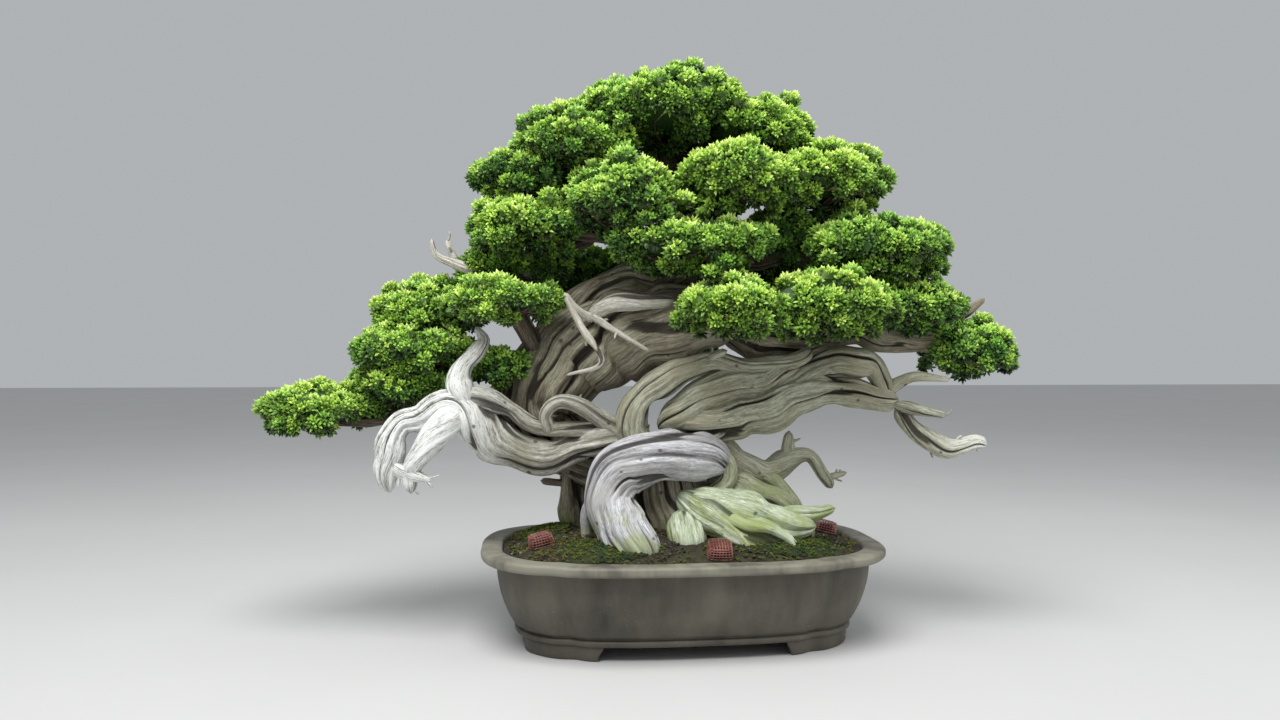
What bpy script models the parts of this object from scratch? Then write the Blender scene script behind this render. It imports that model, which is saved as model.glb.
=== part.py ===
"""Shimpaku juniper bonsai, an old driftwood tree, in a four-lobed unglazed pot.

Frame: metres, +Z up. The origin is under the middle of the whole object's box, on
the surface that the feet stand on. X runs along the pot and -Y is the front of the
display. The model is made round the middle of the pot, then moved by centre_on_box.

Wood is made of tapered tubes along smooth routes. Every route lists hand-chosen
points (x, y, z, radius) in the tree's own frame, whose origin is the middle of
the pot at the height of the rim, and which is turned a little in the pot.
Pieces that grow out of or rest in each other are cut back to a small gap.
"""

import math

import bmesh
import bpy
import numpy as np
from mathutils import Matrix, Vector

# ------------------------------------------------------------ driving dimensions
POT_LENGTH = 0.590
POT_DEPTH = 0.405
POT_HEIGHT = 0.138
OUTLINE_POWER = 3.0  # 2 is an ellipse, higher is squarer
NOTCH_DEPTH = 0.006
NOTCH_TURN = math.radians(54)
NOTCH_WIDTH = math.radians(5)
WALL = 0.009
LIP_HEIGHT = 0.014
LIP_OVERHANG = 0.022
LIP_ROUND = 0.004
BODY_TAPER = 0.026
FLOOR_THICKNESS = 0.012
FOOT_HEIGHT = 0.019
FOOT_WIDTH = 0.017
BEAD_HEIGHT = 0.012
BEAD_SWELL = 0.005
FRONT_OPENING = 0.250  # between the feet, along X
END_OPENING = 0.130  # between the feet, along Y
DRAIN_RADIUS = 0.013
DRAIN_SPACING = 0.240
SCREEN_SIDE = 0.045
SCREEN_THICKNESS = 0.0016

SOIL_DROP = 0.006  # soil edge below the rim
MOUND_HEIGHT = 0.034
MOSS_THICKNESS = 0.007
BASKET_SIDE = 0.036
BASKET_HEIGHT = 0.0175
BASKET_WALL = 0.0014
CAKE_HEIGHT = 0.012

TREE_HEIGHT = 0.717  # crown above the rim
ROUTES_HEIGHT = 0.717  # crown height that the routes below are drawn at
TREE_TURN = math.radians(-6.5)

GAP = 0.0005  # between pieces that touch
OUTLINE_POINTS = 40

# ------------------------------------------------------------ wood routes (x, y, z, radius)
WOOD = {
    "live_trunk": [
        [(-.008, .01, -.045, .070), (-.013, .01, -.01, .066), (-.019, .01, .058, .060),
         (-.028, .015, .120, .052), (-.040, .02, .158, .036)],
        [(-.046, .03, .090, .044), (-.107, .04, .112, .050), (-.177, .045, .146, .054),
         (-.224, .04, .183, .057), (-.214, .03, .226, .059), (-.160, .02, .273, .062),
         (-.099, .01, .305, .064), (-.031, .0, .322, .060), (.029, .0, .322, .050),
         (.082, .0, .308, .036)],
        [(-.190, .02, .296, .022), (-.137, .02, .355, .030), (-.084, .02, .380, .034),
         (-.023, .02, .376, .032), (.035, .02, .350, .024)],
        [(-.150, .05, .150, .028), (-.167, .055, .091, .023), (-.164, .06, .035, .024),
         (-.171, .065, -.015, .022)],
        [(-.155, .055, .076, .009), (-.215, .042, .084, .004)],
        [(-.045, .045, .320, .020), (-.048, .09, .300, .013), (-.045, .140, .286, .006)],
    ],
    "leader": [
        [(-.061, .02, .330, .050), (-.018, .03, .377, .045), (.007, .035, .438, .036),
         (.006, .03, .491, .029), (-.018, .03, .545, .021), (-.034, .035, .60, .013)],
        [(-.004, .045, .410, .018), (-.060, .100, .405, .013), (-.130, .165, .400, .006)],
        [(.010, .045, .405, .018), (.070, .095, .395, .013), (.150, .155, .385, .006)],
        [(.005, .04, .495, .014), (.003, .09, .520, .010), (.0, .150, .540, .005)],
        [(-.028, .034, .578, .009), (.030, .035, .592, .008), (.105, .03, .628, .004)],
    ],
    "right_limb": [
        [(.060, .0, .312, .040), (.143, .01, .303, .034), (.213, .02, .312, .028),
         (.289, .02, .310, .023), (.356, .015, .304, .017), (.404, .01, .314, .009)],
        [(.085, -.005, .318, .014), (.078, -.050, .330, .010), (.070, -.110, .342, .005)],
        [(.213, .015, .318, .012), (.205, -.040, .335, .009), (.204, -.090, .346, .005)],
        [(.300, .018, .315, .010), (.325, .005, .336, .008), (.345, .0, .348, .004)],
        [(.325, .02, .308, .010), (.368, .022, .290, .008), (.425, .012, .276, .004)],
        [(.370, .012, .308, .008), (.425, .01, .337, .008), (.460, .01, .363, .003)],
    ],
    "deadwood_front_root": [
        [(.070, -.02, .112, .020), (.030, -.04, .130, .033), (-.034, -.065, .132, .037),
         (-.088, -.08, .112, .036), (-.106, -.090, .074, .034), (-.084, -.104, .036, .034),
         (-.060, -.118, .008, .035), (-.046, -.126, -.030, .032)],
        [(-.088, -.075, .085, .020), (-.101, -.056, .038, .017), (-.106, -.055, -.020, .017)],
        [(-.118, -.076, .082, .008), (-.139, -.060, .050, .007), (-.137, -.055, -.010, .008)],
    ],
    "deadwood_left_arm": [
        [(-.038, .0, .149, .028), (-.098, -.02, .156, .024), (-.156, -.035, .137, .022),
         (-.214, -.04, .130, .024), (-.265, -.045, .153, .028), (-.300, -.05, .188, .029),
         (-.333, -.055, .203, .023), (-.371, -.06, .190, .017), (-.405, -.065, .182, .016),
         (-.422, -.07, .155, .019), (-.424, -.07, .115, .019), (-.417, -.07, .078, .008)],
        [(-.110, -.028, .168, .013), (-.163, -.04, .167, .012), (-.206, -.05, .172, .013),
         (-.246, -.055, .200, .014), (-.285, -.058, .216, .017), (-.318, -.058, .213, .017)],
        [(-.316, -.065, .201, .021), (-.345, -.078, .170, .018), (-.372, -.085, .135, .016),
         (-.387, -.085, .107, .013), (-.384, -.085, .080, .007)],
        [(-.412, -.075, .120, .013), (-.386, -.085, .107, .010), (-.354, -.09, .099, .004)],
        [(-.306, -.06, .200, .022), (-.320, -.06, .229, .018), (-.316, -.06, .260, .013),
         (-.296, -.06, .282, .010), (-.287, -.055, .300, .007), (-.300, -.05, .318, .003)],
        [(-.190, -.05, .160, .010), (-.196, -.06, .193, .010), (-.176, -.06, .210, .010),
         (-.141, -.05, .199, .012), (-.105, -.035, .174, .013), (-.073, -.02, .151, .015)],
        [(-.225, -.025, .142, .020), (-.277, -.018, .133, .017), (-.306, -.012, .127, .013)],
    ],
    "deadwood_right_arm": [
        [(-.055, -.015, .140, .022), (-.076, -.035, .174, .023), (-.054, -.04, .216, .021),
         (-.010, -.04, .247, .019), (.049, -.038, .262, .016), (.108, -.038, .262, .013),
         (.160, -.03, .268, .012), (.194, -.02, .284, .012)],
        [(.022, -.04, .262, .010), (.067, -.05, .283, .004)],
        [(-.031, .0, .142, .036), (.021, -.015, .171, .036), (.080, -.02, .191, .036),
         (.146, -.02, .205, .034), (.194, -.02, .220, .024), (.242, -.02, .222, .020),
         (.287, -.02, .208, .018), (.324, -.02, .210, .017)],
        [(-.030, -.03, .170, .022), (.010, -.036, .206, .020), (.070, -.036, .232, .024),
         (.130, -.03, .238, .024), (.180, -.022, .262, .014)],
        [(.110, -.018, .198, .027), (.162, -.02, .234, .023), (.195, -.022, .262, .020),
         (.240, -.025, .273, .019), (.283, -.025, .260, .018), (.300, -.02, .236, .015),
         (.310, -.02, .214, .013)],
        [(.302, -.02, .222, .012), (.340, -.025, .244, .007), (.395, -.03, .242, .004)],
        [(.312, -.025, .208, .015), (.348, -.03, .195, .010), (.389, -.03, .187, .004)],
        [(.316, -.02, .198, .013), (.356, -.02, .157, .012), (.390, -.02, .136, .013),
         (.435, -.02, .147, .011), (.454, -.02, .142, .006)],
    ],
    "deadwood_raised_branch": [
        [(.000, .0, .142, .020), (.059, .005, .140, .021), (.093, .01, .112, .021),
         (.128, .01, .098, .019), (.165, .01, .120, .015), (.196, .01, .124, .011),
         (.217, .01, .098, .009), (.230, .01, .076, .005)],
        [(.162, .01, .115, .013), (.165, .005, .163, .005)],
        [(.222, .01, .090, .006), (.253, .01, .100, .003)],
    ],
    "root_loops_right": [
        [(.020, -.02, .135, .013), (.060, -.03, .125, .013), (.070, -.035, .096, .014),
         (.046, -.04, .076, .015), (.012, -.045, .066, .016)],
        [(.040, -.01, .095, .022), (.099, -.02, .074, .020), (.143, -.025, .058, .018),
         (.170, -.03, .030, .018), (.182, -.035, -.010, .017)],
        [(.100, .005, .100, .014), (.130, .005, .088, .013), (.157, .0, .066, .012),
         (.178, -.012, .030, .012)],
    ],
    "root_beak": [
        [(.050, -.035, .062, .015), (.080, -.05, .052, .014), (.127, -.058, .044, .013),
         (.181, -.064, .047, .012), (.221, -.066, .058, .005)],
    ],
    "root_fold": [
        [(-.010, -.045, .072, .020), (.038, -.07, .052, .027), (.080, -.092, .024, .026),
         (.100, -.102, -.016, .024)],
        [(.005, -.055, .068, .018), (.055, -.068, .058, .022), (.105, -.074, .046, .024),
         (.150, -.076, .036, .018), (.190, -.078, .034, .008)],
        [(.050, -.070, .045, .024), (.095, -.096, .022, .026), (.135, -.098, .004, .022),
         (.150, -.098, -.02, .018)],
        [(.000, -.055, .055, .018), (.010, -.084, .022, .022), (.018, -.100, -.014, .020)],
    ],
    "jin_trunk_front": [
        [(-.134, -.040, .331, .012), (-.097, -.06, .350, .014), (-.054, -.064, .353, .012),
         (-.012, -.066, .357, .006)],
        [(-.124, -.045, .327, .007), (-.150, -.06, .341, .005), (-.170, -.066, .366, .004)],
        [(-.168, -.066, .362, .004), (-.146, -.075, .319, .005), (-.115, -.085, .267, .004),
         (-.166, -.085, .248, .002)],
        [(-.133, -.050, .333, .006), (-.090, -.072, .308, .004), (-.047, -.078, .282, .002)],
    ],
    "jin_upper_left": [
        [(-.212, .03, .290, .017), (-.245, .03, .325, .015), (-.272, .03, .366, .013),
         (-.303, .03, .400, .010), (-.344, .03, .417, .008), (-.371, .03, .430, .007),
         (-.379, .03, .456, .004)],
        [(-.340, .03, .416, .007), (-.358, .03, .453, .003)],
    ],
    "branch_left_low": [
        [(-.215, .055, .215, .020), (-.296, .07, .212, .016), (-.365, .06, .197, .013),
         (-.428, .03, .188, .011), (-.481, .0, .180, .009), (-.538, -.01, .180, .005)],
    ],
    "branch_left_middle": [
        [(-.205, .035, .255, .016), (-.290, .05, .262, .013), (-.350, .04, .272, .010),
         (-.425, .03, .276, .006)],
        [(-.310, .047, .266, .010), (-.350, .06, .308, .008), (-.400, .062, .342, .005)],
    ],
    "branch_left_front": [
        [(-.200, .01, .262, .017), (-.214, -.005, .292, .016), (-.236, -.025, .322, .013),
         (-.245, -.055, .345, .009), (-.262, -.070, .358, .006)],
        [(-.212, -.005, .285, .010), (-.236, -.01, .272, .007), (-.264, -.002, .262, .004)],
    ],
    "branch_right_middle": [
        [(.000, .03, .395, .020), (.070, .012, .418, .016), (.150, .012, .428, .013),
         (.230, .0, .428, .010), (.320, -.01, .430, .005)],
        [(.020, .015, .405, .012), (.015, -.03, .415, .010), (.010, -.080, .430, .006)],
        [(.130, .012, .426, .009), (.175, .04, .442, .006)],
    ],
    "branch_left_upper": [
        [(.000, .035, .440, .018), (-.070, .02, .452, .015), (-.140, .01, .458, .011),
         (-.220, .0, .468, .006)],
        [(-.070, .02, .454, .010), (-.085, -.03, .474, .008), (-.092, -.072, .494, .005)],
        [(-.130, .012, .456, .009), (-.190, .045, .430, .007), (-.250, .07, .416, .004)],
    ],
    "branch_right_upper": [
        [(.000, .03, .495, .016), (.060, -.005, .515, .013), (.130, -.01, .530, .010),
         (.215, .0, .542, .005)],
        [(.056, -.004, .514, .009), (.068, -.035, .518, .008), (.078, -.070, .524, .005)],
    ],
    "branch_crown": [
        [(-.015, .03, .538, .012), (-.080, .02, .552, .010), (-.160, .03, .550, .008),
         (-.235, .03, .552, .004)],
        [(-.085, .02, .552, .008), (-.120, .005, .572, .006), (-.150, .0, .596, .004)],
    ],
}
THIN_WOOD = 0.026  # routes thinner than this all along get fewer sides

# ------------------------------------------------------------ foliage: (centre), (half sizes)
PADS = {
    "foliage_crown_top": ((-.018, .020, .640), (.150, .135, .072)),
    "foliage_crown_right": ((.112, .020, .612), (.098, .110, .068)),
    "foliage_crown_left": ((-.150, .0, .592), (.100, .100, .066)),
    "foliage_upper_left": ((-.232, .030, .548), (.100, .090, .046)),
    "foliage_upper_right": ((.205, .0, .538), (.108, .105, .066)),
    "foliage_upper_right_front": ((.080, -.070, .530), (.092, .088, .062)),
    "foliage_upper_back": ((.0, .155, .545), (.135, .088, .070)),
    "foliage_centre_front": ((-.085, -.070, .500), (.090, .088, .066)),
    "foliage_middle_left": ((-.232, .0, .470), (.098, .098, .062)),
    "foliage_middle_left_back": ((-.262, .070, .415), (.098, .085, .046)),
    "foliage_middle_right_front": ((.015, -.075, .437), (.132, .082, .054)),
    "foliage_middle_right_back": ((.170, .050, .460), (.090, .090, .062)),
    "foliage_middle_right": ((.285, -.010, .432), (.125, .108, .060)),
    "foliage_back_left": ((-.140, .175, .412), (.125, .085, .065)),
    "foliage_back_right": ((.155, .165, .400), (.130, .090, .065)),
    "foliage_low_right_front_inner": ((.071, -.110, .346), (.090, .085, .058)),
    "foliage_low_right_front": ((.204, -.095, .348), (.105, .085, .062)),
    "foliage_low_right": ((.335, .0, .350), (.100, .088, .050)),
    "foliage_far_right": ((.435, .010, .284), (.078, .082, .056)),
    "foliage_left_front": ((-.250, -.070, .356), (.085, .068, .042)),
    "foliage_left_near": ((-.262, .0, .262), (.055, .052, .040)),
    "foliage_left_upper": ((-.385, .060, .345), (.098, .085, .056)),
    "foliage_left_middle": ((-.405, .030, .285), (.105, .095, .052)),
    "foliage_left_low": ((-.425, .045, .226), (.100, .092, .054)),
    "foliage_left_tip": ((-.545, -.010, .198), (.092, .085, .050)),
    "foliage_back_low": ((-.045, .140, .300), (.125, .088, .052)),
}
UNDERSIDE = 0.75  # depth of a pad below its widest level, against its height above
LUMP = 0.10

# ------------------------------------------------------------ moss and feed: places on the soil
MOSS = {  # (place along X, place along Y), (half length, half depth), shares of the soil's
    "moss_left": ((-.78, .24), (.175, .350)),
    "moss_front_left": ((-.46, -.70), (.260, .200)),
    "moss_front_right": ((.50, -.66), (.295, .200)),
    "moss_back_left": ((-.42, .72), (.320, .200)),
    "moss_back_right": ((.36, .74), (.320, .175)),
}
BASKETS = {  # (place as shares of the soil), turn
    "left": ((-.79, -.36), math.radians(12)),
    "front": ((.12, -.85), math.radians(-4)),
    "right": ((.88, .16), math.radians(70)),
}

COLOURS = {
    "clay": (.105, .095, .080),
    "plastic_mesh": (.02, .02, .022),
    "soil": (.050, .032, .020),
    "moss": (.090, .130, .025),
    "basket": (.400, .110, .100),
    "feed": (.100, .060, .030),
    "bark": (.150, .110, .075),
    "deadwood": (.480, .450, .380),
    "foliage": (.130, .330, .040),
}


# ------------------------------------------------------------ scene and small helpers
def empty_scene():
    """Remove every object and make the collections for the parts and the cutters."""
    for old in list(bpy.data.objects):
        bpy.data.objects.remove(old, do_unlink=True)
    parts = bpy.data.collections.new("bonsai_tree")
    cutters = bpy.data.collections.new("cutters")
    bpy.context.scene.collection.children.link(parts)
    bpy.context.scene.collection.children.link(cutters)
    return parts, cutters


def make_materials():
    """One Principled material for each kind of surface."""
    made = {}
    for name, colour in COLOURS.items():
        material = bpy.data.materials.new(name)
        material.use_nodes = True
        shader = material.node_tree.nodes["Principled BSDF"]
        shader.inputs["Base Color"].default_value = (*colour, 1)
        shader.inputs["Roughness"].default_value = 0.8
        shader.inputs["Metallic"].default_value = 0.0
        made[name] = material
    return made


def add_object(name, mesh, collection, material=None):
    """A mesh object in a collection; a cutter shows as a wire and isn't rendered."""
    obj = bpy.data.objects.new(name, mesh)
    collection.objects.link(obj)
    if material is None:
        obj.hide_render = True
        obj.display_type = "WIRE"
    else:
        mesh.materials.append(material)
    return obj


def mesh_from(bm, name):
    """Turn a bmesh into a mesh of triangles that point out."""
    bmesh.ops.recalc_face_normals(bm, faces=bm.faces)
    bmesh.ops.triangulate(bm, faces=bm.faces, quad_method="FIXED")
    mesh = bpy.data.meshes.new(name)
    bm.to_mesh(mesh)
    bm.free()
    return mesh


def loft(name, rings):
    """A closed skin over rings of equally many points, with a face at each end."""
    bm = bmesh.new()
    rows = [[bm.verts.new(point) for point in ring] for ring in rings]
    for low, high in zip(rows, rows[1:]):
        for i in range(len(low)):
            j = (i + 1) % len(low)
            bm.faces.new((low[i], low[j], high[j], high[i]))
    bm.faces.new(rows[0])
    bm.faces.new(rows[-1])
    return mesh_from(bm, name)


def modify(obj, cutter, operation):
    """Add an exact Boolean with another object."""
    change = obj.modifiers.new(operation.title(), "BOOLEAN")
    change.operation = operation
    change.object = cutter
    change.solver = "EXACT"


def boxes_meet(one, other, margin=0.002):
    """Whether the world boxes of two objects come within the margin of each other."""
    spans = []
    for obj in (one, other):
        points = np.array([obj.matrix_world @ v.co for v in obj.data.vertices])
        spans.append((points.min(0), points.max(0)))
    (low, high), (other_low, other_high) = spans
    return bool(np.all(low < other_high + margin) and np.all(other_low < high + margin))


def settle(obj):
    """Apply the modifiers and drop the crumbs that a cut leaves beside the piece."""
    bpy.context.view_layer.update()
    evaluated = obj.evaluated_get(bpy.context.evaluated_depsgraph_get())
    mesh = bpy.data.meshes.new_from_object(evaluated)
    obj.modifiers.clear()
    bm = bmesh.new()
    bm.from_mesh(mesh)
    bmesh.ops.remove_doubles(bm, verts=bm.verts, dist=0.00002)
    bmesh.ops.dissolve_degenerate(bm, edges=bm.edges, dist=0.00002)
    islands = []
    unseen = set(bm.verts)
    while unseen:
        island = {unseen.pop()}
        front = list(island)
        while front:
            vert = front.pop()
            for edge in vert.link_edges:
                other = edge.other_vert(vert)
                if other in unseen:
                    unseen.remove(other)
                    island.add(other)
                    front.append(other)
        islands.append(island)
    islands.sort(key=len)
    for crumb in islands[:-1]:
        bmesh.ops.delete(bm, geom=list(crumb), context="VERTS")
    bm.to_mesh(mesh)
    bm.free()
    obj.data = mesh
    return obj


# ------------------------------------------------------------ pot
def outline(inset, turns):
    """The pot's lobed outline, moved in by an inset, at the given turns.

    A superellipse with the pot's length and depth, pulled in by a narrow bell at
    the four notches between the lobes.
    """
    half_length = POT_LENGTH / 2 - inset
    half_depth = POT_DEPTH / 2 - inset
    cos, sin = np.cos(turns), np.sin(turns)
    x = half_length * np.sign(cos) * np.abs(cos) ** (2 / OUTLINE_POWER)
    y = half_depth * np.sign(sin) * np.abs(sin) ** (2 / OUTLINE_POWER)
    quarter = np.arctan2(np.abs(sin), np.abs(cos))
    pull = NOTCH_DEPTH * np.exp(-(((quarter - NOTCH_TURN) / NOTCH_WIDTH) ** 2))
    length = np.hypot(x, y)
    return x * (1 - pull / length), y * (1 - pull / length)


def outline_ring(inset, z):
    """Points round the outline at one height."""
    turns = np.arange(OUTLINE_POINTS) * math.tau / OUTLINE_POINTS
    x, y = outline(inset, turns)
    return [(px, py, z) for px, py in zip(x, y)]


def body_inset(z):
    """How far the pot's outer wall stands in from the rim's edge at a height."""
    foot_top = FOOT_HEIGHT + BEAD_HEIGHT
    rise = (z - foot_top) / (POT_HEIGHT - LIP_HEIGHT - foot_top)
    return LIP_OVERHANG + BODY_TAPER * (1 - min(max(rise, 0), 1)) ** 2.2


def floor_top():
    """Height of the pot's inner floor."""
    return FOOT_HEIGHT + FLOOR_THICKNESS


def make_pot(parts, cutters, material):
    """Body, lip, bead and foot ring as one profile, then the openings are cut."""
    foot_top = FOOT_HEIGHT + BEAD_HEIGHT
    lip_low = POT_HEIGHT - LIP_HEIGHT
    foot_inset = body_inset(foot_top) + BEAD_SWELL
    profile = [
        (foot_inset + FOOT_WIDTH + 0.02, FOOT_HEIGHT),
        (foot_inset + FOOT_WIDTH, FOOT_HEIGHT),
        (foot_inset + FOOT_WIDTH, 0.0),
        (foot_inset, 0.0),
        (foot_inset - 0.001, FOOT_HEIGHT),
        (foot_inset - BEAD_SWELL, FOOT_HEIGHT + BEAD_HEIGHT / 2),
        (foot_inset - 0.001, foot_top),
    ]
    profile += [(body_inset(z), z) for z in np.linspace(foot_top + 0.008, lip_low - 0.006, 4)]
    profile += [
        (LIP_ROUND / 2, lip_low),
        (0.0, lip_low + LIP_ROUND),
        (0.0, POT_HEIGHT - LIP_ROUND),
        (LIP_ROUND, POT_HEIGHT),
        (LIP_OVERHANG + WALL - LIP_ROUND, POT_HEIGHT),
        (LIP_OVERHANG + WALL, POT_HEIGHT - LIP_ROUND),
    ]
    inner = np.linspace(lip_low - 0.006, foot_top + 0.008, 3)
    profile += [(body_inset(z) + WALL, z) for z in inner]
    profile += [(body_inset(foot_top) + WALL + 0.02, floor_top())]
    rings = [outline_ring(inset, z) for inset, z in profile]
    pot = add_object("pot", loft("pot", rings), parts, material)

    for name, size in {
        "front_opening": (FRONT_OPENING, 2 * POT_DEPTH, 2 * FOOT_HEIGHT - 0.002),
        "end_opening": (2 * POT_LENGTH, END_OPENING, 2 * FOOT_HEIGHT - 0.002),
    }.items():
        bm = bmesh.new()
        bmesh.ops.create_cube(bm, size=1)
        bmesh.ops.scale(bm, vec=size, verts=bm.verts)
        modify(pot, add_object(name, mesh_from(bm, name), cutters), "DIFFERENCE")
    for side in (-1, 1):
        bm = bmesh.new()
        bmesh.ops.create_cone(
            bm, cap_ends=True, segments=20, radius1=DRAIN_RADIUS, radius2=DRAIN_RADIUS,
            depth=4 * FLOOR_THICKNESS,
            matrix=Matrix.Translation((side * DRAIN_SPACING / 2, 0, floor_top())),
        )
        hole = add_object(f"drain_{side}", mesh_from(bm, "drain"), cutters)
        modify(pot, hole, "DIFFERENCE")
    return settle(pot)


def make_screens(parts, material):
    """A square of mesh lies over each drain hole."""
    for name, side in (("left", -1), ("right", 1)):
        bm = bmesh.new()
        bmesh.ops.create_cube(bm, size=1)
        bmesh.ops.scale(bm, vec=(SCREEN_SIDE, SCREEN_SIDE, SCREEN_THICKNESS), verts=bm.verts)
        middle = floor_top() + GAP + SCREEN_THICKNESS / 2
        shift = Vector((side * DRAIN_SPACING / 2, 0, middle))
        bmesh.ops.translate(bm, vec=shift, verts=bm.verts)
        screen = f"drain_screen_{name}"
        add_object(screen, mesh_from(bm, screen), parts, material)


# ------------------------------------------------------------ soil, moss and feed
def soil_half():
    """Half the length and half the depth of the soil at its top edge."""
    inset = LIP_OVERHANG + WALL + GAP
    return POT_LENGTH / 2 - inset, POT_DEPTH / 2 - inset


def soil_height(x, y):
    """Height of the soil: a rounded mound that falls to its edge inside the rim."""
    half_length, half_depth = soil_half()
    u = abs(x / half_length) ** OUTLINE_POWER + abs(y / half_depth) ** OUTLINE_POWER
    edge = POT_HEIGHT - SOIL_DROP
    return edge + MOUND_HEIGHT * (1 - min(u, 1) ** (2 / OUTLINE_POWER))


def soil_rings():
    """Rings up the pot's inner wall, then inwards over the mound."""
    foot_top = FOOT_HEIGHT + BEAD_HEIGHT
    low = floor_top() + SCREEN_THICKNESS + 2 * GAP
    heights = np.linspace(foot_top + 0.008, POT_HEIGHT - LIP_HEIGHT - 0.006, 3)
    rings = [outline_ring(body_inset(foot_top) + WALL + 0.03, low)]
    rings += [outline_ring(body_inset(z) + WALL + 2 * GAP, z) for z in heights]
    edge = outline_ring(LIP_OVERHANG + WALL + 2 * GAP, POT_HEIGHT - SOIL_DROP)
    rings.append(edge)
    for share in (0.90, 0.75, 0.50, 0.25):
        ring = [(x * share, y * share) for x, y, z in edge]
        rings.append([(x, y, soil_height(x, y)) for x, y in ring])
    return rings


def make_moss(name, place, half, parts, material):
    """A cushion of moss: a thin dome that follows the soil under it."""
    soil_length, soil_depth = soil_half()
    sides, steps = 16, (1.0, 0.7)
    rings = []
    for lift, shares in ((0, steps[::-1]), (1, steps)):
        for share in shares:
            ring = []
            for i in range(sides):
                turn = math.tau * i / sides
                wobble = 1 + 0.07 * math.sin(3 * turn + place[0] * 9) + 0.05 * math.sin(5 * turn)
                x = soil_length * (place[0] + half[0] * share * wobble * math.cos(turn))
                y = soil_depth * (place[1] + half[1] * share * wobble * math.sin(turn))
                thickness = MOSS_THICKNESS * (0.35 + 0.65 * math.sqrt(1 - share**2))
                ring.append((x, y, soil_height(x, y) + 2 * GAP + lift * thickness))
            rings.append(ring)
    return add_object(name, loft(name, rings), parts, material)


def on_soil(place, turn):
    """The matrix that stands a thing on the soil, square to the slope there."""
    soil_length, soil_depth = soil_half()
    x, y = place[0] * soil_length, place[1] * soil_depth
    step = BASKET_SIDE / 2
    slope_x = (soil_height(x + step, y) - soil_height(x - step, y)) / (2 * step)
    slope_y = (soil_height(x, y + step) - soil_height(x, y - step)) / (2 * step)
    up = Vector((-slope_x, -slope_y, 1)).normalized()
    lean = Vector((0, 0, 1)).rotation_difference(up).to_matrix().to_4x4()
    foot = Vector((x, y, soil_height(x, y) + 4 * GAP))
    return Matrix.Translation(foot) @ lean @ Matrix.Rotation(turn, 4, "Z")


def tapered_box(name, side, top_side, low, high, radius, parts, material):
    """A box with rounded corners that narrows towards its top."""
    bm = bmesh.new()
    bmesh.ops.create_cube(bm, size=1)
    for vert in bm.verts:
        width = top_side if vert.co.z > 0 else side
        vert.co = Vector((vert.co.x * width, vert.co.y * width, high if vert.co.z > 0 else low))
    mesh = mesh_from(bm, name)
    box = add_object(name, mesh, parts, material)
    rounding = box.modifiers.new("Corners", "BEVEL")
    rounding.width = radius
    rounding.segments = 1
    return box


def make_baskets(parts, cutters, materials):
    """Domed mesh covers pegged on the soil, each over a cake of feed."""
    inside = BASKET_SIDE - 2 * BASKET_WALL
    for name, (place, turn) in BASKETS.items():
        stand = on_soil(place, turn)
        cover = tapered_box(
            f"feed_basket_{name}", BASKET_SIDE, BASKET_SIDE * 0.85, 0, BASKET_HEIGHT,
            0.003, parts, materials["basket"],
        )
        hollow = tapered_box(
            f"basket_hollow_{name}", inside, inside * 0.85, -BASKET_HEIGHT,
            BASKET_HEIGHT - BASKET_WALL, 0.002, cutters, materials["basket"],
        )
        hollow.hide_render = True
        hollow.display_type = "WIRE"
        cover.matrix_world = stand
        hollow.matrix_world = stand
        modify(cover, hollow, "DIFFERENCE")
        settle(cover)
        cake = tapered_box(
            f"feed_cake_{name}", inside * 0.7, inside * 0.6, GAP, CAKE_HEIGHT,
            0.002, parts, materials["feed"],
        )
        cake.matrix_world = stand
        settle(cake)


# ------------------------------------------------------------ wood
def tree_to_world():
    """From the tree's frame to the pot's: scale, turn and lift to the rim."""
    scale = TREE_HEIGHT / ROUTES_HEIGHT
    lift = Matrix.Translation((0, 0, POT_HEIGHT))
    return lift @ Matrix.Rotation(TREE_TURN, 4, "Z") @ Matrix.Scale(scale, 4)


def smooth(route, steps):
    """Points of a Catmull-Rom curve through the route's points and radii."""
    points = np.array(route, float)
    padded = np.vstack([2 * points[0] - points[1], points, 2 * points[-1] - points[-2]])
    found = []
    for before, start, end, after in zip(padded, padded[1:], padded[2:], padded[3:]):
        for i in range(steps):
            t = i / steps
            found.append(
                0.5 * (2 * start + (end - before) * t
                       + (2 * before - 5 * start + 4 * end - after) * t**2
                       + (3 * start - before - 3 * end + after) * t**3)
            )
    found.append(points[-1])
    return np.array(found)


def tube(name, route, extra, collection, material=None):
    """A tapered tube along a route, thicker and longer by extra, as a mesh."""
    thin = max(point[3] for point in route) < THIN_WOOD
    points = smooth(route, 2)
    for end, inner in ((0, 1), (-1, -2)):
        away = points[end, :3] - points[inner, :3]
        points[end, :3] += away / np.linalg.norm(away) * extra
    curve = bpy.data.curves.new(name, "CURVE")
    curve.dimensions = "3D"
    curve.bevel_depth = 1.0
    curve.bevel_resolution = 1 if thin else 2
    curve.use_fill_caps = True
    spline = curve.splines.new("POLY")
    spline.points.add(len(points) - 1)
    for point, (x, y, z, radius) in zip(spline.points, points):
        point.co = (x, y, z, 1)
        point.radius = max(radius, 0.002) + extra
    source = bpy.data.objects.new(name, curve)
    collection.objects.link(source)
    bpy.context.view_layer.update()
    evaluated = source.evaluated_get(bpy.context.evaluated_depsgraph_get())
    mesh = bpy.data.meshes.new_from_object(evaluated)
    bpy.data.objects.remove(source)
    bm = bmesh.new()
    bm.from_mesh(mesh)
    bmesh.ops.remove_doubles(bm, verts=bm.verts, dist=0.00005)
    bmesh.ops.transform(bm, matrix=tree_to_world(), verts=bm.verts)
    return add_object(name, mesh_from(bm, name), collection, material)


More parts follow.
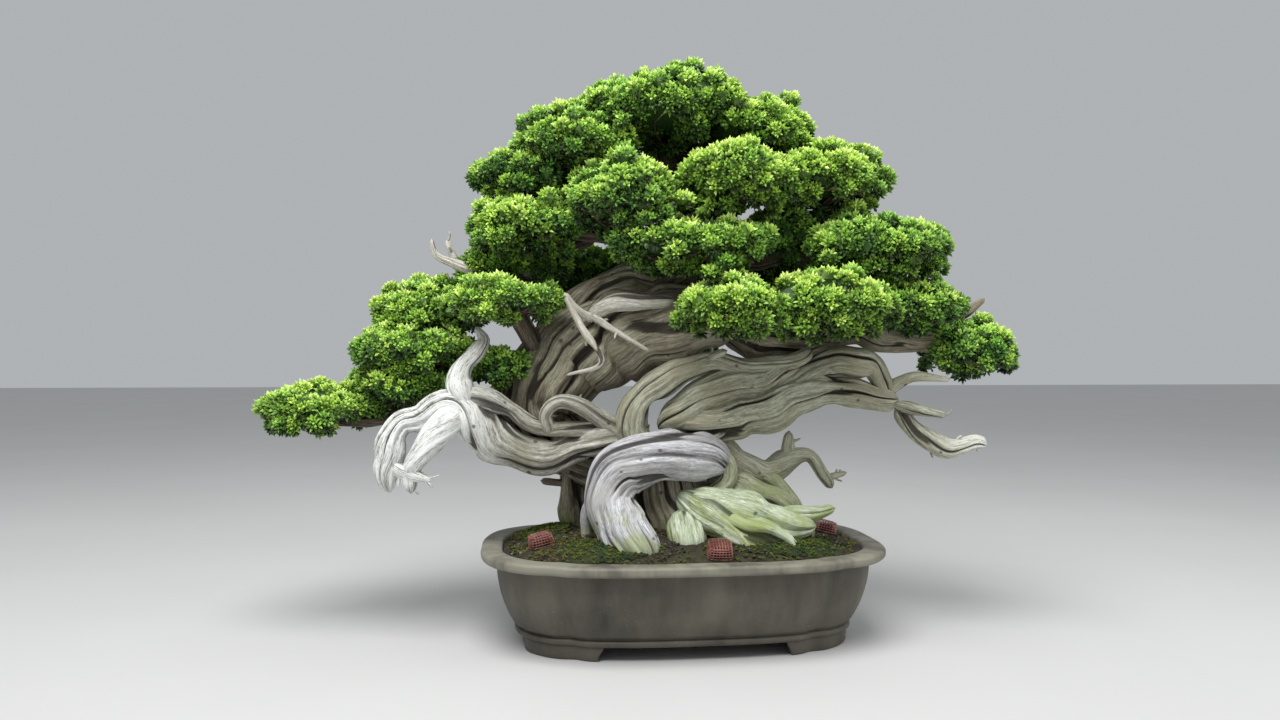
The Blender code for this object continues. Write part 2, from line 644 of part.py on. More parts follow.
def make_wood(parts, cutters, materials):
    """Every wooden piece, cut back from those before it; returns the clearance tubes."""
    clearance = []
    for name, routes in WOOD.items():
        dead = name.startswith(("deadwood", "jin", "root"))
        material = materials["deadwood" if dead else "bark"]
        piece = tube(name, routes[0], 0, parts, material)
        for i, route in enumerate(routes[1:], 2):
            modify(piece, tube(f"{name}_strand_{i}", route, 0, cutters), "UNION")
        settle(piece)
        for cutter in clearance:
            if boxes_meet(piece, cutter):
                modify(piece, cutter, "DIFFERENCE")
        settle(piece)
        for i, route in enumerate(routes, 1):
            clearance.append(tube(f"{name}_clearance_{i}", route, GAP, cutters))
    return clearance


# ------------------------------------------------------------ foliage
def pad_mesh(name, centre, half, extra):
    """A lumpy dome with a shallow underside, grown by extra all round."""
    bm = bmesh.new()
    bmesh.ops.create_uvsphere(bm, u_segments=10, v_segments=7, radius=1)
    phase = 40 * centre[0] + 25 * centre[1]
    for vert in bm.verts:
        x, y, z = vert.co
        turn = math.atan2(y, x)
        wave = math.sin(4 * turn + phase) + math.sin(7 * turn - 2 * phase + 3 * z)
        swell = 1 - LUMP + LUMP / 2 * wave * math.hypot(x, y)
        depth = z if z > 0 else z * UNDERSIDE
        vert.co = Vector((
            centre[0] + x * (half[0] * swell + extra),
            centre[1] + y * (half[1] * swell + extra),
            centre[2] + depth * half[2] * swell + z * extra,
        ))
    bmesh.ops.transform(bm, matrix=tree_to_world(), verts=bm.verts)
    return mesh_from(bm, name)


def make_foliage(parts, cutters, material, clearance):
    """Each pad, cut back from the wood that carries it and from the pads before it."""
    earlier = []
    for name, (centre, half) in PADS.items():
        pad = add_object(name, pad_mesh(name, centre, half, 0), parts, material)
        for cutter in clearance + earlier:
            if boxes_meet(pad, cutter):
                modify(pad, cutter, "DIFFERENCE")
        settle(pad)
        grown = pad_mesh(f"{name}_clearance", centre, half, GAP)
        earlier.append(add_object(f"{name}_clearance", grown, cutters))


# ------------------------------------------------------------ assembly
def centre_on_box(parts):
    """Move every piece so that the origin is under the middle of the whole box."""
    bpy.context.view_layer.update()
    points = np.array([obj.matrix_world @ v.co for obj in parts.objects for v in obj.data.vertices])
    middle = (points.min(0) + points.max(0)) / 2
    shift = Matrix.Translation((-middle[0], -middle[1], 0))
    for obj in parts.objects:
        obj.matrix_world = shift @ obj.matrix_world
    print("middle of the pot now at", [round(-float(v), 6) for v in middle[:2]])


def main():
    parts, cutters = empty_scene()
    materials = make_materials()
    make_pot(parts, cutters, materials["clay"])
    make_screens(parts, materials["plastic_mesh"])
    clearance = make_wood(parts, cutters, materials)

    soil = add_object("soil", loft("soil", soil_rings()), parts, materials["soil"])
    ground = [soil]
    for name, (place, half) in MOSS.items():
        ground.append(make_moss(name, place, half, parts, materials["moss"]))
    for piece in ground:
        for cutter in clearance:
            if boxes_meet(piece, cutter):
                modify(piece, cutter, "DIFFERENCE")
        settle(piece)
    make_baskets(parts, cutters, materials)
    make_foliage(parts, cutters, materials["foliage"], clearance)
    centre_on_box(parts)


main()
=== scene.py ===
# %% [markdown]
# # An old juniper in a clay pot
#
# The tree is a shimpaku juniper kept small in a pot. Most of its wood is dead,
# silvery and carved by weather; one brown strip of living trunk feeds the green
# pads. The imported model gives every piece's place. Here each piece gets its real
# surface: fluted wood, tufts of leaf, moss, grit and fired clay.

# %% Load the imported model
import itertools
import math

import bpy
import numpy as np
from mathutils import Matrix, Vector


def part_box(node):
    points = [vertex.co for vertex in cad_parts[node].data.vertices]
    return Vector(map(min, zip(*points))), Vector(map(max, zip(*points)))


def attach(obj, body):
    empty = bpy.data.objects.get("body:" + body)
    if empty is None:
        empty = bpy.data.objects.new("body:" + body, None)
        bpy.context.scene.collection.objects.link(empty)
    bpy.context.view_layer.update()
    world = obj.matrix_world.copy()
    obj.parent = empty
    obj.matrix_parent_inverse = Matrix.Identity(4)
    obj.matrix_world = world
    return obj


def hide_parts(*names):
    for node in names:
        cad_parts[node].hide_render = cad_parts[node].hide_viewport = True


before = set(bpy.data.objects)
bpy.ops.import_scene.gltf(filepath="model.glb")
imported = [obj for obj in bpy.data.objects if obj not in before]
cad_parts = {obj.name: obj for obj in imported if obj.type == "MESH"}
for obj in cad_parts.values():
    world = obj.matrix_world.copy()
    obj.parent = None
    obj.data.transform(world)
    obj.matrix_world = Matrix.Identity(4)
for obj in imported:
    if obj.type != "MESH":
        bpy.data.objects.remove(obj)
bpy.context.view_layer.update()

pot_low, pot_high = np.array(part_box("pot"))
POT_MIDDLE = (pot_low + pot_high) / 2 * (1, 1, 0)
POT_LENGTH, POT_DEPTH, POT_HEIGHT = pot_high - pot_low
print("pot", POT_LENGTH, POT_DEPTH, POT_HEIGHT, "round", POT_MIDDLE)

# %% [markdown]
# ## Two frames
#
# The pot is made round its own middle. The tree is made in a frame that starts at
# the height of the rim and is turned a little in the pot, as the grower set it.
# Two small functions carry points from these frames to the model's.

# %% From the pot's and the tree's frames
TREE_TURN = math.radians(-6.5)


def from_pot(points):
    """Points round the pot's middle, moved to the model's frame."""
    return np.asarray(points, float) + POT_MIDDLE


def from_tree(points):
    """Turned about the vertical by the tree's turn, then lifted to the rim."""
    x, y, z = np.moveaxis(np.asarray(points, float), -1, 0)
    cos, sin = math.cos(TREE_TURN), math.sin(TREE_TURN)
    turned = np.stack([x * cos - y * sin, x * sin + y * cos, z + POT_HEIGHT], -1)
    return from_pot(turned)


# %% [markdown]
# ## Camera, light and floor
#
# A shelf-high view from the front, a soft light from above and in front, as on an
# overcast day, and a plain pale floor.

# %% Camera
camera_data = bpy.data.cameras.new("front_view")
camera_data.sensor_width = 36.0
camera_data.lens = 28.1
camera_data.clip_end = 60.0
camera = bpy.data.objects.new("front_view", camera_data)
camera.location = from_pot((-0.230, -1.4835, 0.4075))
camera.rotation_euler = (math.radians(90), 0, TREE_TURN)
bpy.context.scene.collection.objects.link(camera)
bpy.context.scene.camera = camera

# %% Light and floor
bpy.context.scene.view_settings.view_transform = "Standard"


def soft_light(name, place, aim, size, watts):
    """A square lamp at a place, turned to face an aim."""
    lamp = bpy.data.lights.new(name, "AREA")
    lamp.size = size
    lamp.energy = watts
    holder = bpy.data.objects.new(name, lamp)
    holder.location = place
    look = holder.location.copy()
    look.x, look.y, look.z = (a - p for a, p in zip(aim, place))
    holder.rotation_euler = look.to_track_quat("-Z", "Y").to_euler()
    bpy.context.scene.collection.objects.link(holder)


TREE_HEART = (0, 0, 0.4)
soft_light("sky_lamp", (-0.5, -1.3, 2.7), TREE_HEART, 1.8, 98)
soft_light("side_lamp", (2.4, -1.0, 1.5), TREE_HEART, 1.6, 16)
world = bpy.data.worlds.new("studio")
world.use_nodes = True
sky = world.node_tree.nodes["Background"].inputs
sky["Color"].default_value, sky["Strength"].default_value = (0.80, 0.83, 0.86, 1), 0.54
bpy.context.scene.world = world

# %% [markdown]
# ## Numbers that look grown
#
# Bark, grit and leaf all vary without repeating. A lattice noise gives that: every
# whole-number cell has a random value, and a point takes a smooth blend of the
# eight corners round it. It is worked out for whole arrays of points at once.

# %% Noise


def corner_value(ix, iy, iz, seed):
    """A number 0 to 1 from three whole numbers: multiplied, mixed and folded."""
    mixed = (ix * 73856093) ^ (iy * 19349663) ^ (iz * 83492791) ^ (seed * 2654435761)
    mixed = (mixed ^ (mixed >> 13)) & 0xFFFFFFFF
    mixed = (mixed * 1274126177) & 0xFFFFFFFF
    return ((mixed ^ (mixed >> 16)) & 0xFFFF) / 65535.0


def noise(x, y, z, seed=0):
    """Blend of the eight corners round (x, y, z), by 3t^2 - 2t^3 along each axis."""
    x, y, z = np.broadcast_arrays(x, y, z)
    low = [np.floor(c).astype(np.int64) for c in (x, y, z)]
    part = [c - f for c, f in zip((x, y, z), low)]
    ease = [t * t * (3 - 2 * t) for t in part]
    total = 0.0
    for corner in np.ndindex(2, 2, 2):
        weight = 1.0
        for side, t in zip(corner, ease):
            weight = weight * (t if side else 1 - t)
        total = total + weight * corner_value(*(f + s for f, s in zip(low, corner)), seed)
    return total


def circle(count):
    """Turns spread evenly round a circle, the last one short of the first."""
    return np.arange(count) * math.tau / count


def sides_of(path):
    """Two directions square to a path at each point, kept from spinning by one world axis."""
    along = unit(np.gradient(path, axis=0))
    reference = np.eye(3)[np.argmin(np.abs(along).max(0))]
    side = unit(np.cross(along, reference))
    return side, np.cross(side, along)


def round_shape(rows, cols, gap):
    """Tilts from pole to pole, short of each by a gap, as a column; turns as a row."""
    tilt = np.linspace(-math.pi / 2 + gap, math.pi / 2 - gap, rows)[:, None]
    return tilt, circle(cols)[None]


def signed_power(value, power):
    """|v|^power with the sign of v, which squares off a circle when power is below 1."""
    return np.sign(value) * np.abs(value) ** power


def unit(vectors):
    """Vectors divided by their lengths."""
    length = np.linalg.norm(vectors, axis=-1, keepdims=True)
    return vectors / np.maximum(length, 1e-9)


def sunflower(count):
    """Directions spread evenly over a sphere: golden-angle turns, even steps in height."""
    step = np.arange(count) + 0.5
    height = 1 - 2 * step / count
    turn = step * math.pi * (3 - math.sqrt(5))
    flat = np.sqrt(1 - height**2)
    return np.stack([flat * np.cos(turn), flat * np.sin(turn), height], -1)


# %% [markdown]
# ## Surfaces as arrays
#
# Almost every piece is a grid of points: rows along a path or a profile, and
# columns round it. `skin` joins such a grid with triangles and closes both ends
# with a pole. A surface is a dictionary of points, triangles, a flat map for each
# corner, and any extra values for each point.

# %% From grid to piece


def corner_maps(triangles):
    """Flat places of three corners each, for all triangles of each kind."""
    return np.concatenate([np.stack([np.stack(place, -1) for place in corners], 1)
                           for corners in triangles])


def skin(grid, inwards=False, **values):
    """Triangles between the rows of a grid whose columns run in a closed loop.

    Corner (i, j) joins (i+1, j), (i+1, j+1) and (i, j+1); a pole at the mean of
    the first and of the last row closes each end.
    """
    rows, cols = grid.shape[:2]
    i, j = (m.ravel() for m in np.meshgrid(np.arange(rows - 1), np.arange(cols), indexing="ij"))
    k = (j + 1) % cols
    a, b, c, d = i * cols + j, (i + 1) * cols + j, (i + 1) * cols + k, i * cols + k
    tris = np.concatenate([np.stack([a, b, c], -1), np.stack([a, c, d], -1)])
    u0, u1 = 0.01 + 0.98 * i / (rows - 1), 0.01 + 0.98 * (i + 1) / (rows - 1)
    v0, v1 = j / cols, (j + 1) / cols
    uvs = corner_maps([[(u0, v0), (u1, v0), (u1, v1)], [(u0, v0), (u1, v1), (u0, v1)]])
    j = np.arange(cols)
    k = (j + 1) % cols
    last = (rows - 1) * cols
    pole = rows * cols
    caps = np.concatenate([
        np.stack([np.full(cols, pole), j, k], -1),
        np.stack([np.full(cols, pole + 1), last + k, last + j], -1),
    ])
    w0, w1 = j / cols, (j + 1) / cols
    zero, one = np.zeros(cols), np.ones(cols)
    cap_uvs = corner_maps([[(zero, (w0 + w1) / 2), (zero + 0.01, w0), (zero + 0.01, w1)],
                           [(one, (w0 + w1) / 2), (one - 0.01, w1), (one - 0.01, w0)]])
    tris, uvs = np.concatenate([tris, caps]), np.concatenate([uvs, cap_uvs])
    if inwards:
        tris, uvs = tris[:, ::-1], uvs[:, ::-1]

    def with_poles(array):
        """The grid's values as a list, with the mean of both end rows added."""
        flat_array = array.reshape((rows * cols,) + array.shape[2:])
        return np.concatenate([flat_array, array[:1].mean(1), array[-1:].mean(1)])

    extra = {name: with_poles(value) for name, value in values.items()}
    return {"points": with_poles(grid), "tris": tris, "uvs": uvs, **extra}


def together(surfaces):
    """Several surfaces as one: points end to end, and corner numbers moved on."""
    starts = np.cumsum([0] + [len(s["points"]) for s in surfaces[:-1]])
    joined = {name: np.concatenate([s[name] for s in surfaces])
              for name in surfaces[0] if name != "tris"}
    joined["tris"] = np.concatenate([s["tris"] + start for s, start in zip(surfaces, starts)])
    return joined


def stacked_maps(surfaces, shares):
    """Each surface's flat map squeezed into its own strip, as wide as its share."""
    edges = np.concatenate([[0], np.cumsum(shares)]) / sum(shares)
    for surface, low, high in zip(surfaces, edges, edges[1:]):
        gap = 0.04 * (high - low)
        surface["uvs"] = surface["uvs"].copy()
        surface["uvs"][..., 1] = low + gap + surface["uvs"][..., 1] * (high - low - 2 * gap)
    return surfaces


def strips(surfaces):
    """Surfaces as one, each in a strip of the map as wide as the next."""
    return together(stacked_maps(surfaces, [1] * len(surfaces)))


def make_piece(name, surface, finish, nodes=(), smooth=True):
    """A mesh object from a surface, riding the root body in place of its CAD nodes."""
    mesh = bpy.data.meshes.new(name)
    points, tris = surface["points"], surface["tris"]
    mesh.vertices.add(len(points))
    mesh.vertices.foreach_set("co", points.astype(np.float32).ravel())
    mesh.loops.add(tris.size)
    mesh.loops.foreach_set("vertex_index", tris.astype(np.int32).ravel())
    mesh.polygons.add(len(tris))
    mesh.polygons.foreach_set("loop_start", np.arange(0, tris.size, 3, dtype=np.int32))
    mesh.polygons.foreach_set("use_smooth", np.full(len(tris), smooth))
    mesh.update(calc_edges=True)
    flat_map = mesh.uv_layers.new(name="OFBake")
    flat_map.data.foreach_set("uv", surface["uvs"].astype(np.float32).ravel())
    for key, value in surface.items():
        if key in ("points", "tris", "uvs"):
            continue
        kind, field = ("FLOAT", "value") if value.ndim == 1 else ("FLOAT_VECTOR", "vector")
        layer = mesh.attributes.new(key, kind, "POINT")
        layer.data.foreach_set(field, value.astype(np.float32).ravel())
    mesh.materials.append(finish)
    piece = bpy.data.objects.new(name, mesh)
    bpy.context.scene.collection.objects.link(piece)
    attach(piece, "root")
    if nodes:
        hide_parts(*nodes)
    print(f"{name}: {len(tris)} triangles")
    return piece


# %% [markdown]
# ## Finishes written as sums
#
# A material is a little network of nodes. `Value` wraps a node's output so that
# ordinary arithmetic adds the Math nodes, and `Finish.node` adds any other kind.

# %% The two helper classes


class Value:
    """A number that a node gives; arithmetic on it adds Math nodes."""

    def __init__(self, finish, socket):
        self.finish, self.socket = finish, socket

    def math(self, operation, first, second):
        return self.finish.node("ShaderNodeMath", {"operation": operation}, {0: first, 1: second})

    def __add__(self, other):
        return self.math("ADD", self, other)

    def __sub__(self, other):
        return self.math("SUBTRACT", self, other)

    def __rsub__(self, other):
        return self.math("SUBTRACT", other, self)

    def __mul__(self, other):
        return self.math("MULTIPLY", self, other)

    __radd__, __rmul__ = __add__, __mul__

    def between(self, low, high):
        """0 below low, 1 above high, and a smooth step from one to the other."""
        settings = {"interpolation_type": "SMOOTHSTEP"}
        return self.finish.node("ShaderNodeMapRange", settings, {0: self, 1: low, 2: high})


class Finish:
    """A material with one Principled shader, built up node by node."""

    def __init__(self, name, roughness):
        self.material = bpy.data.materials.new(name)
        self.material.use_nodes = True
        self.tree = self.material.node_tree
        self.shader = self.tree.nodes["Principled BSDF"]
        self.shader.inputs["Roughness"].default_value = roughness

    def node(self, kind, settings=None, inputs=None, output=0):
        """A node of a kind: its settings first, then the values or links of its sockets."""
        made = self.tree.nodes.new(kind)
        for key, value in (settings or {}).items():
            if key == "stops":
                stops = made.color_ramp.elements
                while len(stops) < len(value):
                    stops.new(0.5)
                for stop, (place, colour) in zip(stops, value):
                    stop.position, stop.color = place, (*tint(colour), 1)
            else:
                setattr(made, key, value)
        for key, value in (inputs or {}).items():
            self.feed(made.inputs[key], value)
        return Value(self, made.outputs[output])

    def feed(self, socket, value):
        """Link a value to a socket, or set the socket to a number, a vector or a colour."""
        if isinstance(value, Value):
            self.tree.links.new(value.socket, socket)
        else:
            socket.default_value = (*tint(value), 1) if isinstance(value, str) else value

    def place(self):
        """The point's place in the model."""
        return self.node("ShaderNodeTexCoord", output="Object")

    def attribute(self, name, output="Fac"):
        """A value that the piece's own points carry."""
        return self.node("ShaderNodeAttribute", {"attribute_name": name}, output=output)

    def part(self, vector, index):
        """One of a vector's three numbers."""
        return self.node("ShaderNodeSeparateXYZ", None, {0: vector}, index)

    def chart(self):
        """The shade and the kind that each small copied shape keeps in its flat map."""
        flat = self.node("ShaderNodeUVMap", {"uv_map": "OFBake"})
        return self.part(flat, 0), self.part(flat, 1)

    def stretch(self, vector, scale):
        """A vector multiplied part by part."""
        return self.node("ShaderNodeVectorMath", {"operation": "MULTIPLY"}, {0: vector, 1: scale})

    def speckle(self, vector, scale, detail=3.0, rough=0.55):
        """Soft noise 0 to 1."""
        inputs = {"Vector": vector, "Scale": scale, "Detail": detail, "Roughness": rough}
        return self.node("ShaderNodeTexNoise", None, inputs)

    def cells(self, vector, scale):
        """Distance to the nearest of many scattered points."""
        inputs = {"Vector": vector, "Scale": scale}
        return self.node("ShaderNodeTexVoronoi", None, inputs, "Distance")

    def mix(self, factor, first, second):
        """A colour between two colours."""
        inputs = {0: factor, 6: first, 7: second}
        return self.node("ShaderNodeMix", {"data_type": "RGBA"}, inputs, 2)

    def ramp(self, value, *stops):
        """A colour that follows a number through its stops."""
        return self.node("ShaderNodeValToRGB", {"stops": stops}, {0: value})

    def done(self, colour, height=None, depth=0.001, strength=0.6, roughness=None):
        """Join colour, roughness and a height for the bumps to the shader."""
        self.feed(self.shader.inputs["Base Color"], colour)
        if roughness is not None:
            self.feed(self.shader.inputs["Roughness"], roughness)
        if height is not None:
            inputs = {"Strength": strength, "Distance": depth, "Height": height}
            self.feed(self.shader.inputs["Normal"], self.node("ShaderNodeBump", None, inputs))
        return self.material


def tint(code):
    """A screen colour, two digits each for red, green and blue, as light.

    Each part c from 0 to 1 becomes ((c + 0.055) / 1.055)^2.4.
    """
    return tuple(((int(code[k:k + 2], 16) / 255 + 0.055) / 1.055) ** 2.4 for k in (0, 2, 4))


# %% [markdown]
# ## The floor
#
# Not part of the object. A wide plane has no visible seam, and a trace of noise
# keeps it from looking like paper.

# %% Floor
floor_mesh = bpy.data.meshes.new("floor")
FLOOR_REACH = 14.0
corners = [(x * FLOOR_REACH, y * FLOOR_REACH, 0) for x, y in ((-1, -1), (1, -1), (1, 1), (-1, 1))]
floor_mesh.from_pydata(corners, [], [(0, 1, 2, 3)])
floor = bpy.data.objects.new("floor", floor_mesh)
bpy.context.scene.collection.objects.link(floor)
pale = Finish("pale_floor", 0.7)
cloud = pale.speckle(pale.place(), 1.6)
floor_mesh.materials.append(pale.done(pale.mix(cloud, "c4c4c2", "cececd")))

# %% [markdown]
# ## The pot
#
# The pot is pressed in a mould and fired without glaze. Its outline is a rounded
# rectangle with four shallow notches, so it reads as four lobes. A profile from
# the middle of the underside, up the wall, over the lip and down to the inner
# floor is carried round that outline. The four feet are swept on their own, so
# their ends can slant.

# %% The pot's outline and wall
OUTLINE_POWER = 3.0
NOTCH_DEPTH = 0.006
NOTCH_TURN, NOTCH_WIDTH = math.radians(54), math.radians(5)
WALL, LIP_HEIGHT, LIP_OVERHANG = 0.009, 0.014, 0.022
BODY_TAPER, FOOT_HEIGHT, FOOT_WIDTH = 0.026, 0.019, 0.017
BEAD_HEIGHT, BEAD_SWELL, FLOOR_THICKNESS = 0.012, 0.005, 0.012
FOOT_TOP = FOOT_HEIGHT + BEAD_HEIGHT
LIP_LOW = POT_HEIGHT - LIP_HEIGHT
FLOOR_TOP = FOOT_HEIGHT + FLOOR_THICKNESS


def outline(inset, turns):
    """x = a sgn(cos)|cos|^(2/3), y alike, pulled in by a narrow bell at each notch."""
    cos, sin = np.cos(turns), np.sin(turns)
    power = 2 / OUTLINE_POWER
    x = (POT_LENGTH / 2 - inset) * signed_power(cos, power)
    y = (POT_DEPTH / 2 - inset) * signed_power(sin, power)
    quarter = np.arctan2(np.abs(sin), np.abs(cos))
    pull = NOTCH_DEPTH * np.exp(-(((quarter - NOTCH_TURN) / NOTCH_WIDTH) ** 2))
    share = 1 - pull / np.hypot(x, y)
    return x * share, y * share


def even_turns(count):
    """Turns that put the outline's points about evenly along it."""
    fine = np.linspace(0, math.tau, 4001)
    x, y = outline(0, fine)
    run = np.concatenate([[0], np.cumsum(np.hypot(np.diff(x), np.diff(y)))])
    return np.interp(np.arange(count) / count * run[-1], run, fine)


def body_inset(z):
    """The wall stands in by the overhang, plus a taper that grows as (1 - rise)^2.2."""
    rise = np.clip((z - FOOT_TOP) / (LIP_LOW - FOOT_TOP), 0, 1)
    return LIP_OVERHANG + BODY_TAPER * (1 - rise) ** 2.2


def carried_round(profile, turns):
    """A grid: one row for each (inset, height) of a profile, one column for each turn."""
    inset = np.array([p[0] for p in profile])[:, None]
    height = np.array([p[1] for p in profile])[:, None]
    x, y = outline(inset, turns[None, :])
    return np.stack([x, y, np.broadcast_to(height, x.shape)], -1)


def arc(centre, radius, start, end, count=7):
    """Points (inset, height) on a quarter or half round, by turns in degrees."""
    turn = np.radians(np.linspace(start, end, count))
    return [(centre[0] - radius * c, centre[1] + radius * s)
            for c, s in zip(np.cos(turn), np.sin(turn))]


def pot_profile():
    """From the middle of the underside, out and up, over the lip and down inside."""
    foot_inset = body_inset(FOOT_TOP) + BEAD_SWELL
    line = [(0.19, FOOT_HEIGHT), (0.13, FOOT_HEIGHT), (0.09, FOOT_HEIGHT),
            (foot_inset + 0.006, FOOT_HEIGHT), (foot_inset + 0.001, FOOT_HEIGHT + 0.0006)]
    middle = FOOT_HEIGHT + BEAD_HEIGHT * 0.5
    line += arc((foot_inset, middle), BEAD_HEIGHT * 0.42, -70, 70, 11)
    line += [(foot_inset - 0.0006, FOOT_TOP - 0.0004), (foot_inset - 0.0022, FOOT_TOP + 0.0012)]
    line += [(body_inset(z), z) for z in np.linspace(FOOT_TOP + 0.004, LIP_LOW - 0.004, 34)]
    line += [(LIP_OVERHANG - 0.0006, LIP_LOW - 0.0016), (LIP_OVERHANG - 0.003, LIP_LOW - 0.0004)]
    line += arc((0.0058, LIP_LOW + 0.0056), 0.0056, -80, 0)
    line += arc((0.0050, POT_HEIGHT - 0.0050), 0.0050, 8, 90)
    inner = LIP_OVERHANG + WALL
    line += [(inner * share, POT_HEIGHT) for share in (0.35, 0.5, 0.65, 0.8)]
    line += [(inner - 0.0022, POT_HEIGHT - 0.0005), (inner - 0.0004, POT_HEIGHT - 0.0028)]
    line += [(body_inset(z) + WALL, z) for z in np.linspace(LIP_LOW - 0.002, FOOT_TOP + 0.012, 16)]
    line += [(body_inset(FOOT_TOP) + WALL + 0.008, FLOOR_TOP + 0.003)]
    line += [(0.09, FLOOR_TOP), (0.13, FLOOR_TOP), (0.19, FLOOR_TOP)]
    return line


# %% [markdown]
# Thrown and pressed clay is never dead true: a hair of noise bends the wall, and
# the lip waves by less than a millimetre.

# %% The pot's body and drain holes
DRAIN_RADIUS, DRAIN_SPACING, POT_COLUMNS = 0.013, 0.240, 420


def pot_body():
    """The profile carried round, with slow noise of half a millimetre along the outline."""
    grid = carried_round(pot_profile(), even_turns(POT_COLUMNS))
    x, y, z = np.moveaxis(grid, -1, 0)
    wave = noise(x * 22, y * 22, z * 30, 3) - 0.5
    fine = noise(x * 110, y * 110, z * 160, 4) - 0.5
    away = unit(grid * (1, 1, 0))
    lip = np.clip((z - LIP_LOW) / LIP_HEIGHT, 0, 1)
    grid = grid + away * (0.0011 * wave + 0.00035 * fine)[..., None]
    grid[..., 2] += lip * 0.0012 * (noise(x * 17, y * 17, 0, 5) - 0.7)
    return skin(grid, inwards=True)


def cut_round_holes(piece, places, radius, low, high):
    """Exact Booleans with upright rods, applied to the mesh."""
    turn = circle(40)
    for place in places:
        ring = np.stack([radius * np.cos(turn), radius * np.sin(turn), turn * 0], -1)
        rod = skin(from_pot(np.stack([ring + (*place, z) for z in (low, high)])))
        mesh = bpy.data.meshes.new("rod")
        mesh.from_pydata(rod["points"].tolist(), [], rod["tris"].tolist())
        cutter = bpy.data.objects.new("rod", mesh)
        bpy.context.scene.collection.objects.link(cutter)
        cut = piece.modifiers.new("Hole", "BOOLEAN")
        cut.operation, cut.object, cut.solver = "DIFFERENCE", cutter, "EXACT"
        bpy.context.view_layer.update()
        cut_piece = piece.evaluated_get(bpy.context.evaluated_depsgraph_get())
        whole = bpy.data.meshes.new_from_object(cut_piece)
        piece.modifiers.clear()
        piece.data = whole
        bpy.data.objects.remove(cutter)


# %% The four feet
FRONT_OPENING, END_OPENING = 0.250, 0.130
FOOT_SLANT = 0.009


def foot(side_x, side_y):
    """A rounded bar along one corner of the outline, between the two openings.

    The turn at each end is where the outline reaches the opening's edge, and the
    edge moves outwards as the foot goes down, which slants the end.
    """
    inset = body_inset(FOOT_TOP) + BEAD_SWELL
    out, inside = inset - 0.0005, inset + FOOT_WIDTH
    ring = [(inside - 0.002, 0.0), (out + 0.004, 0.0), (out + 0.0022, 0.0008),
            (out + 0.0012, 0.003), (out + 0.0008, 0.010), (out, 0.017), (out, FOOT_HEIGHT + 0.003),
            (inside, FOOT_HEIGHT + 0.003), (inside, 0.010), (inside, 0.002)]
    fine = np.linspace(0, math.pi / 2, 2001)
    columns = []
    for ring_inset, height in ring:
        x, y = outline(ring_inset, fine)
        slant = FOOT_SLANT * np.clip(height / FOOT_HEIGHT, 0, 1) ** 2
        start = np.interp(END_OPENING / 2 + FOOT_SLANT - slant, y, fine)
        end = np.interp(-(FRONT_OPENING / 2 + FOOT_SLANT - slant), -x, fine)
        turns = start + (end - start) * np.linspace(0, 1, 70)
        x, y = outline(ring_inset, turns)
        columns.append(np.stack([x * side_x, y * side_y, np.full(len(x), height)], -1))
    grid = np.stack(columns, 1)
    return skin(from_pot(grid), inwards=side_x * side_y < 0)


# %% [markdown]
# Unglazed clay is matt and slightly uneven: grey-brown with warmer patches, and darker
# where the wall meets the bead. The lip is painted paler than the wall below it: painted
# light. Minerals from the water leave pale specks low on the wall. Fine pores go into the bump.

# %% Clay
clay = Finish("unglazed_clay", 0.62)
spot = clay.place()
height_up = clay.part(spot, 2)
patches = clay.speckle(spot, 9.0, 4.0)
smears = clay.speckle(clay.stretch(spot, (26, 26, 3.5)), 1.0, 3.0)
grains = clay.speckle(spot, 620.0, 2.0)
body_tone = clay.ramp(patches * 0.55 + smears * 0.45, (0.32, "2e2b23"),
                      (0.50, "504c41"), (0.70, "6a6458"))
# Painted light: the lip is painted paler than the body below it.
lip_painted_light = clay.mix((patches * 0.65 + smears * 0.35).between(0.40, 0.58), "524f45", "848172")
toned = clay.mix(height_up.between(0.120, 0.128), body_tone, lip_painted_light)
damp = (1 - height_up.between(0.020, 0.060)) * patches.between(0.35, 0.65)
toned = clay.mix(damp * 0.35, toned, "3e3a32")
specks = (1 - clay.cells(spot, 165.0).between(0.05, 0.13))
low_wall = 1 - height_up.between(0.050, 0.105)
rare = clay.speckle(spot, 21.0, 1.0).between(0.52, 0.66)
toned = clay.mix(specks * low_wall * rare * 0.75, toned, "beb9ae")
toned = clay.mix(grains.between(0.60, 0.78) * 0.35, toned, "8c8376")
clay_material = clay.done(toned, grains * 0.6 + patches * 0.8, 0.0006, 0.5, patches * 0.18 + 0.50)

# %% Put the pot together
body = pot_body()
body["points"] = from_pot(body["points"])
feet = [foot(sx, sy) for sx in (-1, 1) for sy in (-1, 1)]
pot_parts = stacked_maps([body] + feet, [8, 1, 1, 1, 1])
pot_piece = make_piece("clay_pot", pot_parts[0], clay_material, ["pot"])
cut_round_holes(pot_piece, [(s * DRAIN_SPACING / 2, 0) for s in (-1, 1)], DRAIN_RADIUS,
                FOOT_HEIGHT - 0.01, FLOOR_TOP + 0.01)
make_piece("clay_feet", together(pot_parts[1:]), clay_material)

# %% [markdown]
# ## Bars and screens
#
# A square of plastic mesh keeps the soil from washing out of each drain hole. Its
# threads pass over and under each other, so each is a small bar whose height
# follows a cosine, half a wave out of step with its neighbour.

# %% Bars along paths


def bar(path, radius, sides=4):
    """A bar of one thickness along a path, its sides turned to the path's own side."""
    path = np.asarray(path, float)
    side, up = sides_of(path)
    turn = (np.arange(sides) + 0.5) * math.tau / sides
    radius = np.broadcast_to(radius, len(path))[:, None, None]
    ring = side[:, None] * np.cos(turn)[:, None] + up[:, None] * np.sin(turn)[:, None]
    return skin(path[:, None] + ring * radius)


# %% Drain screens
SCREEN_SIDE, THREAD = 0.0448, 0.00036


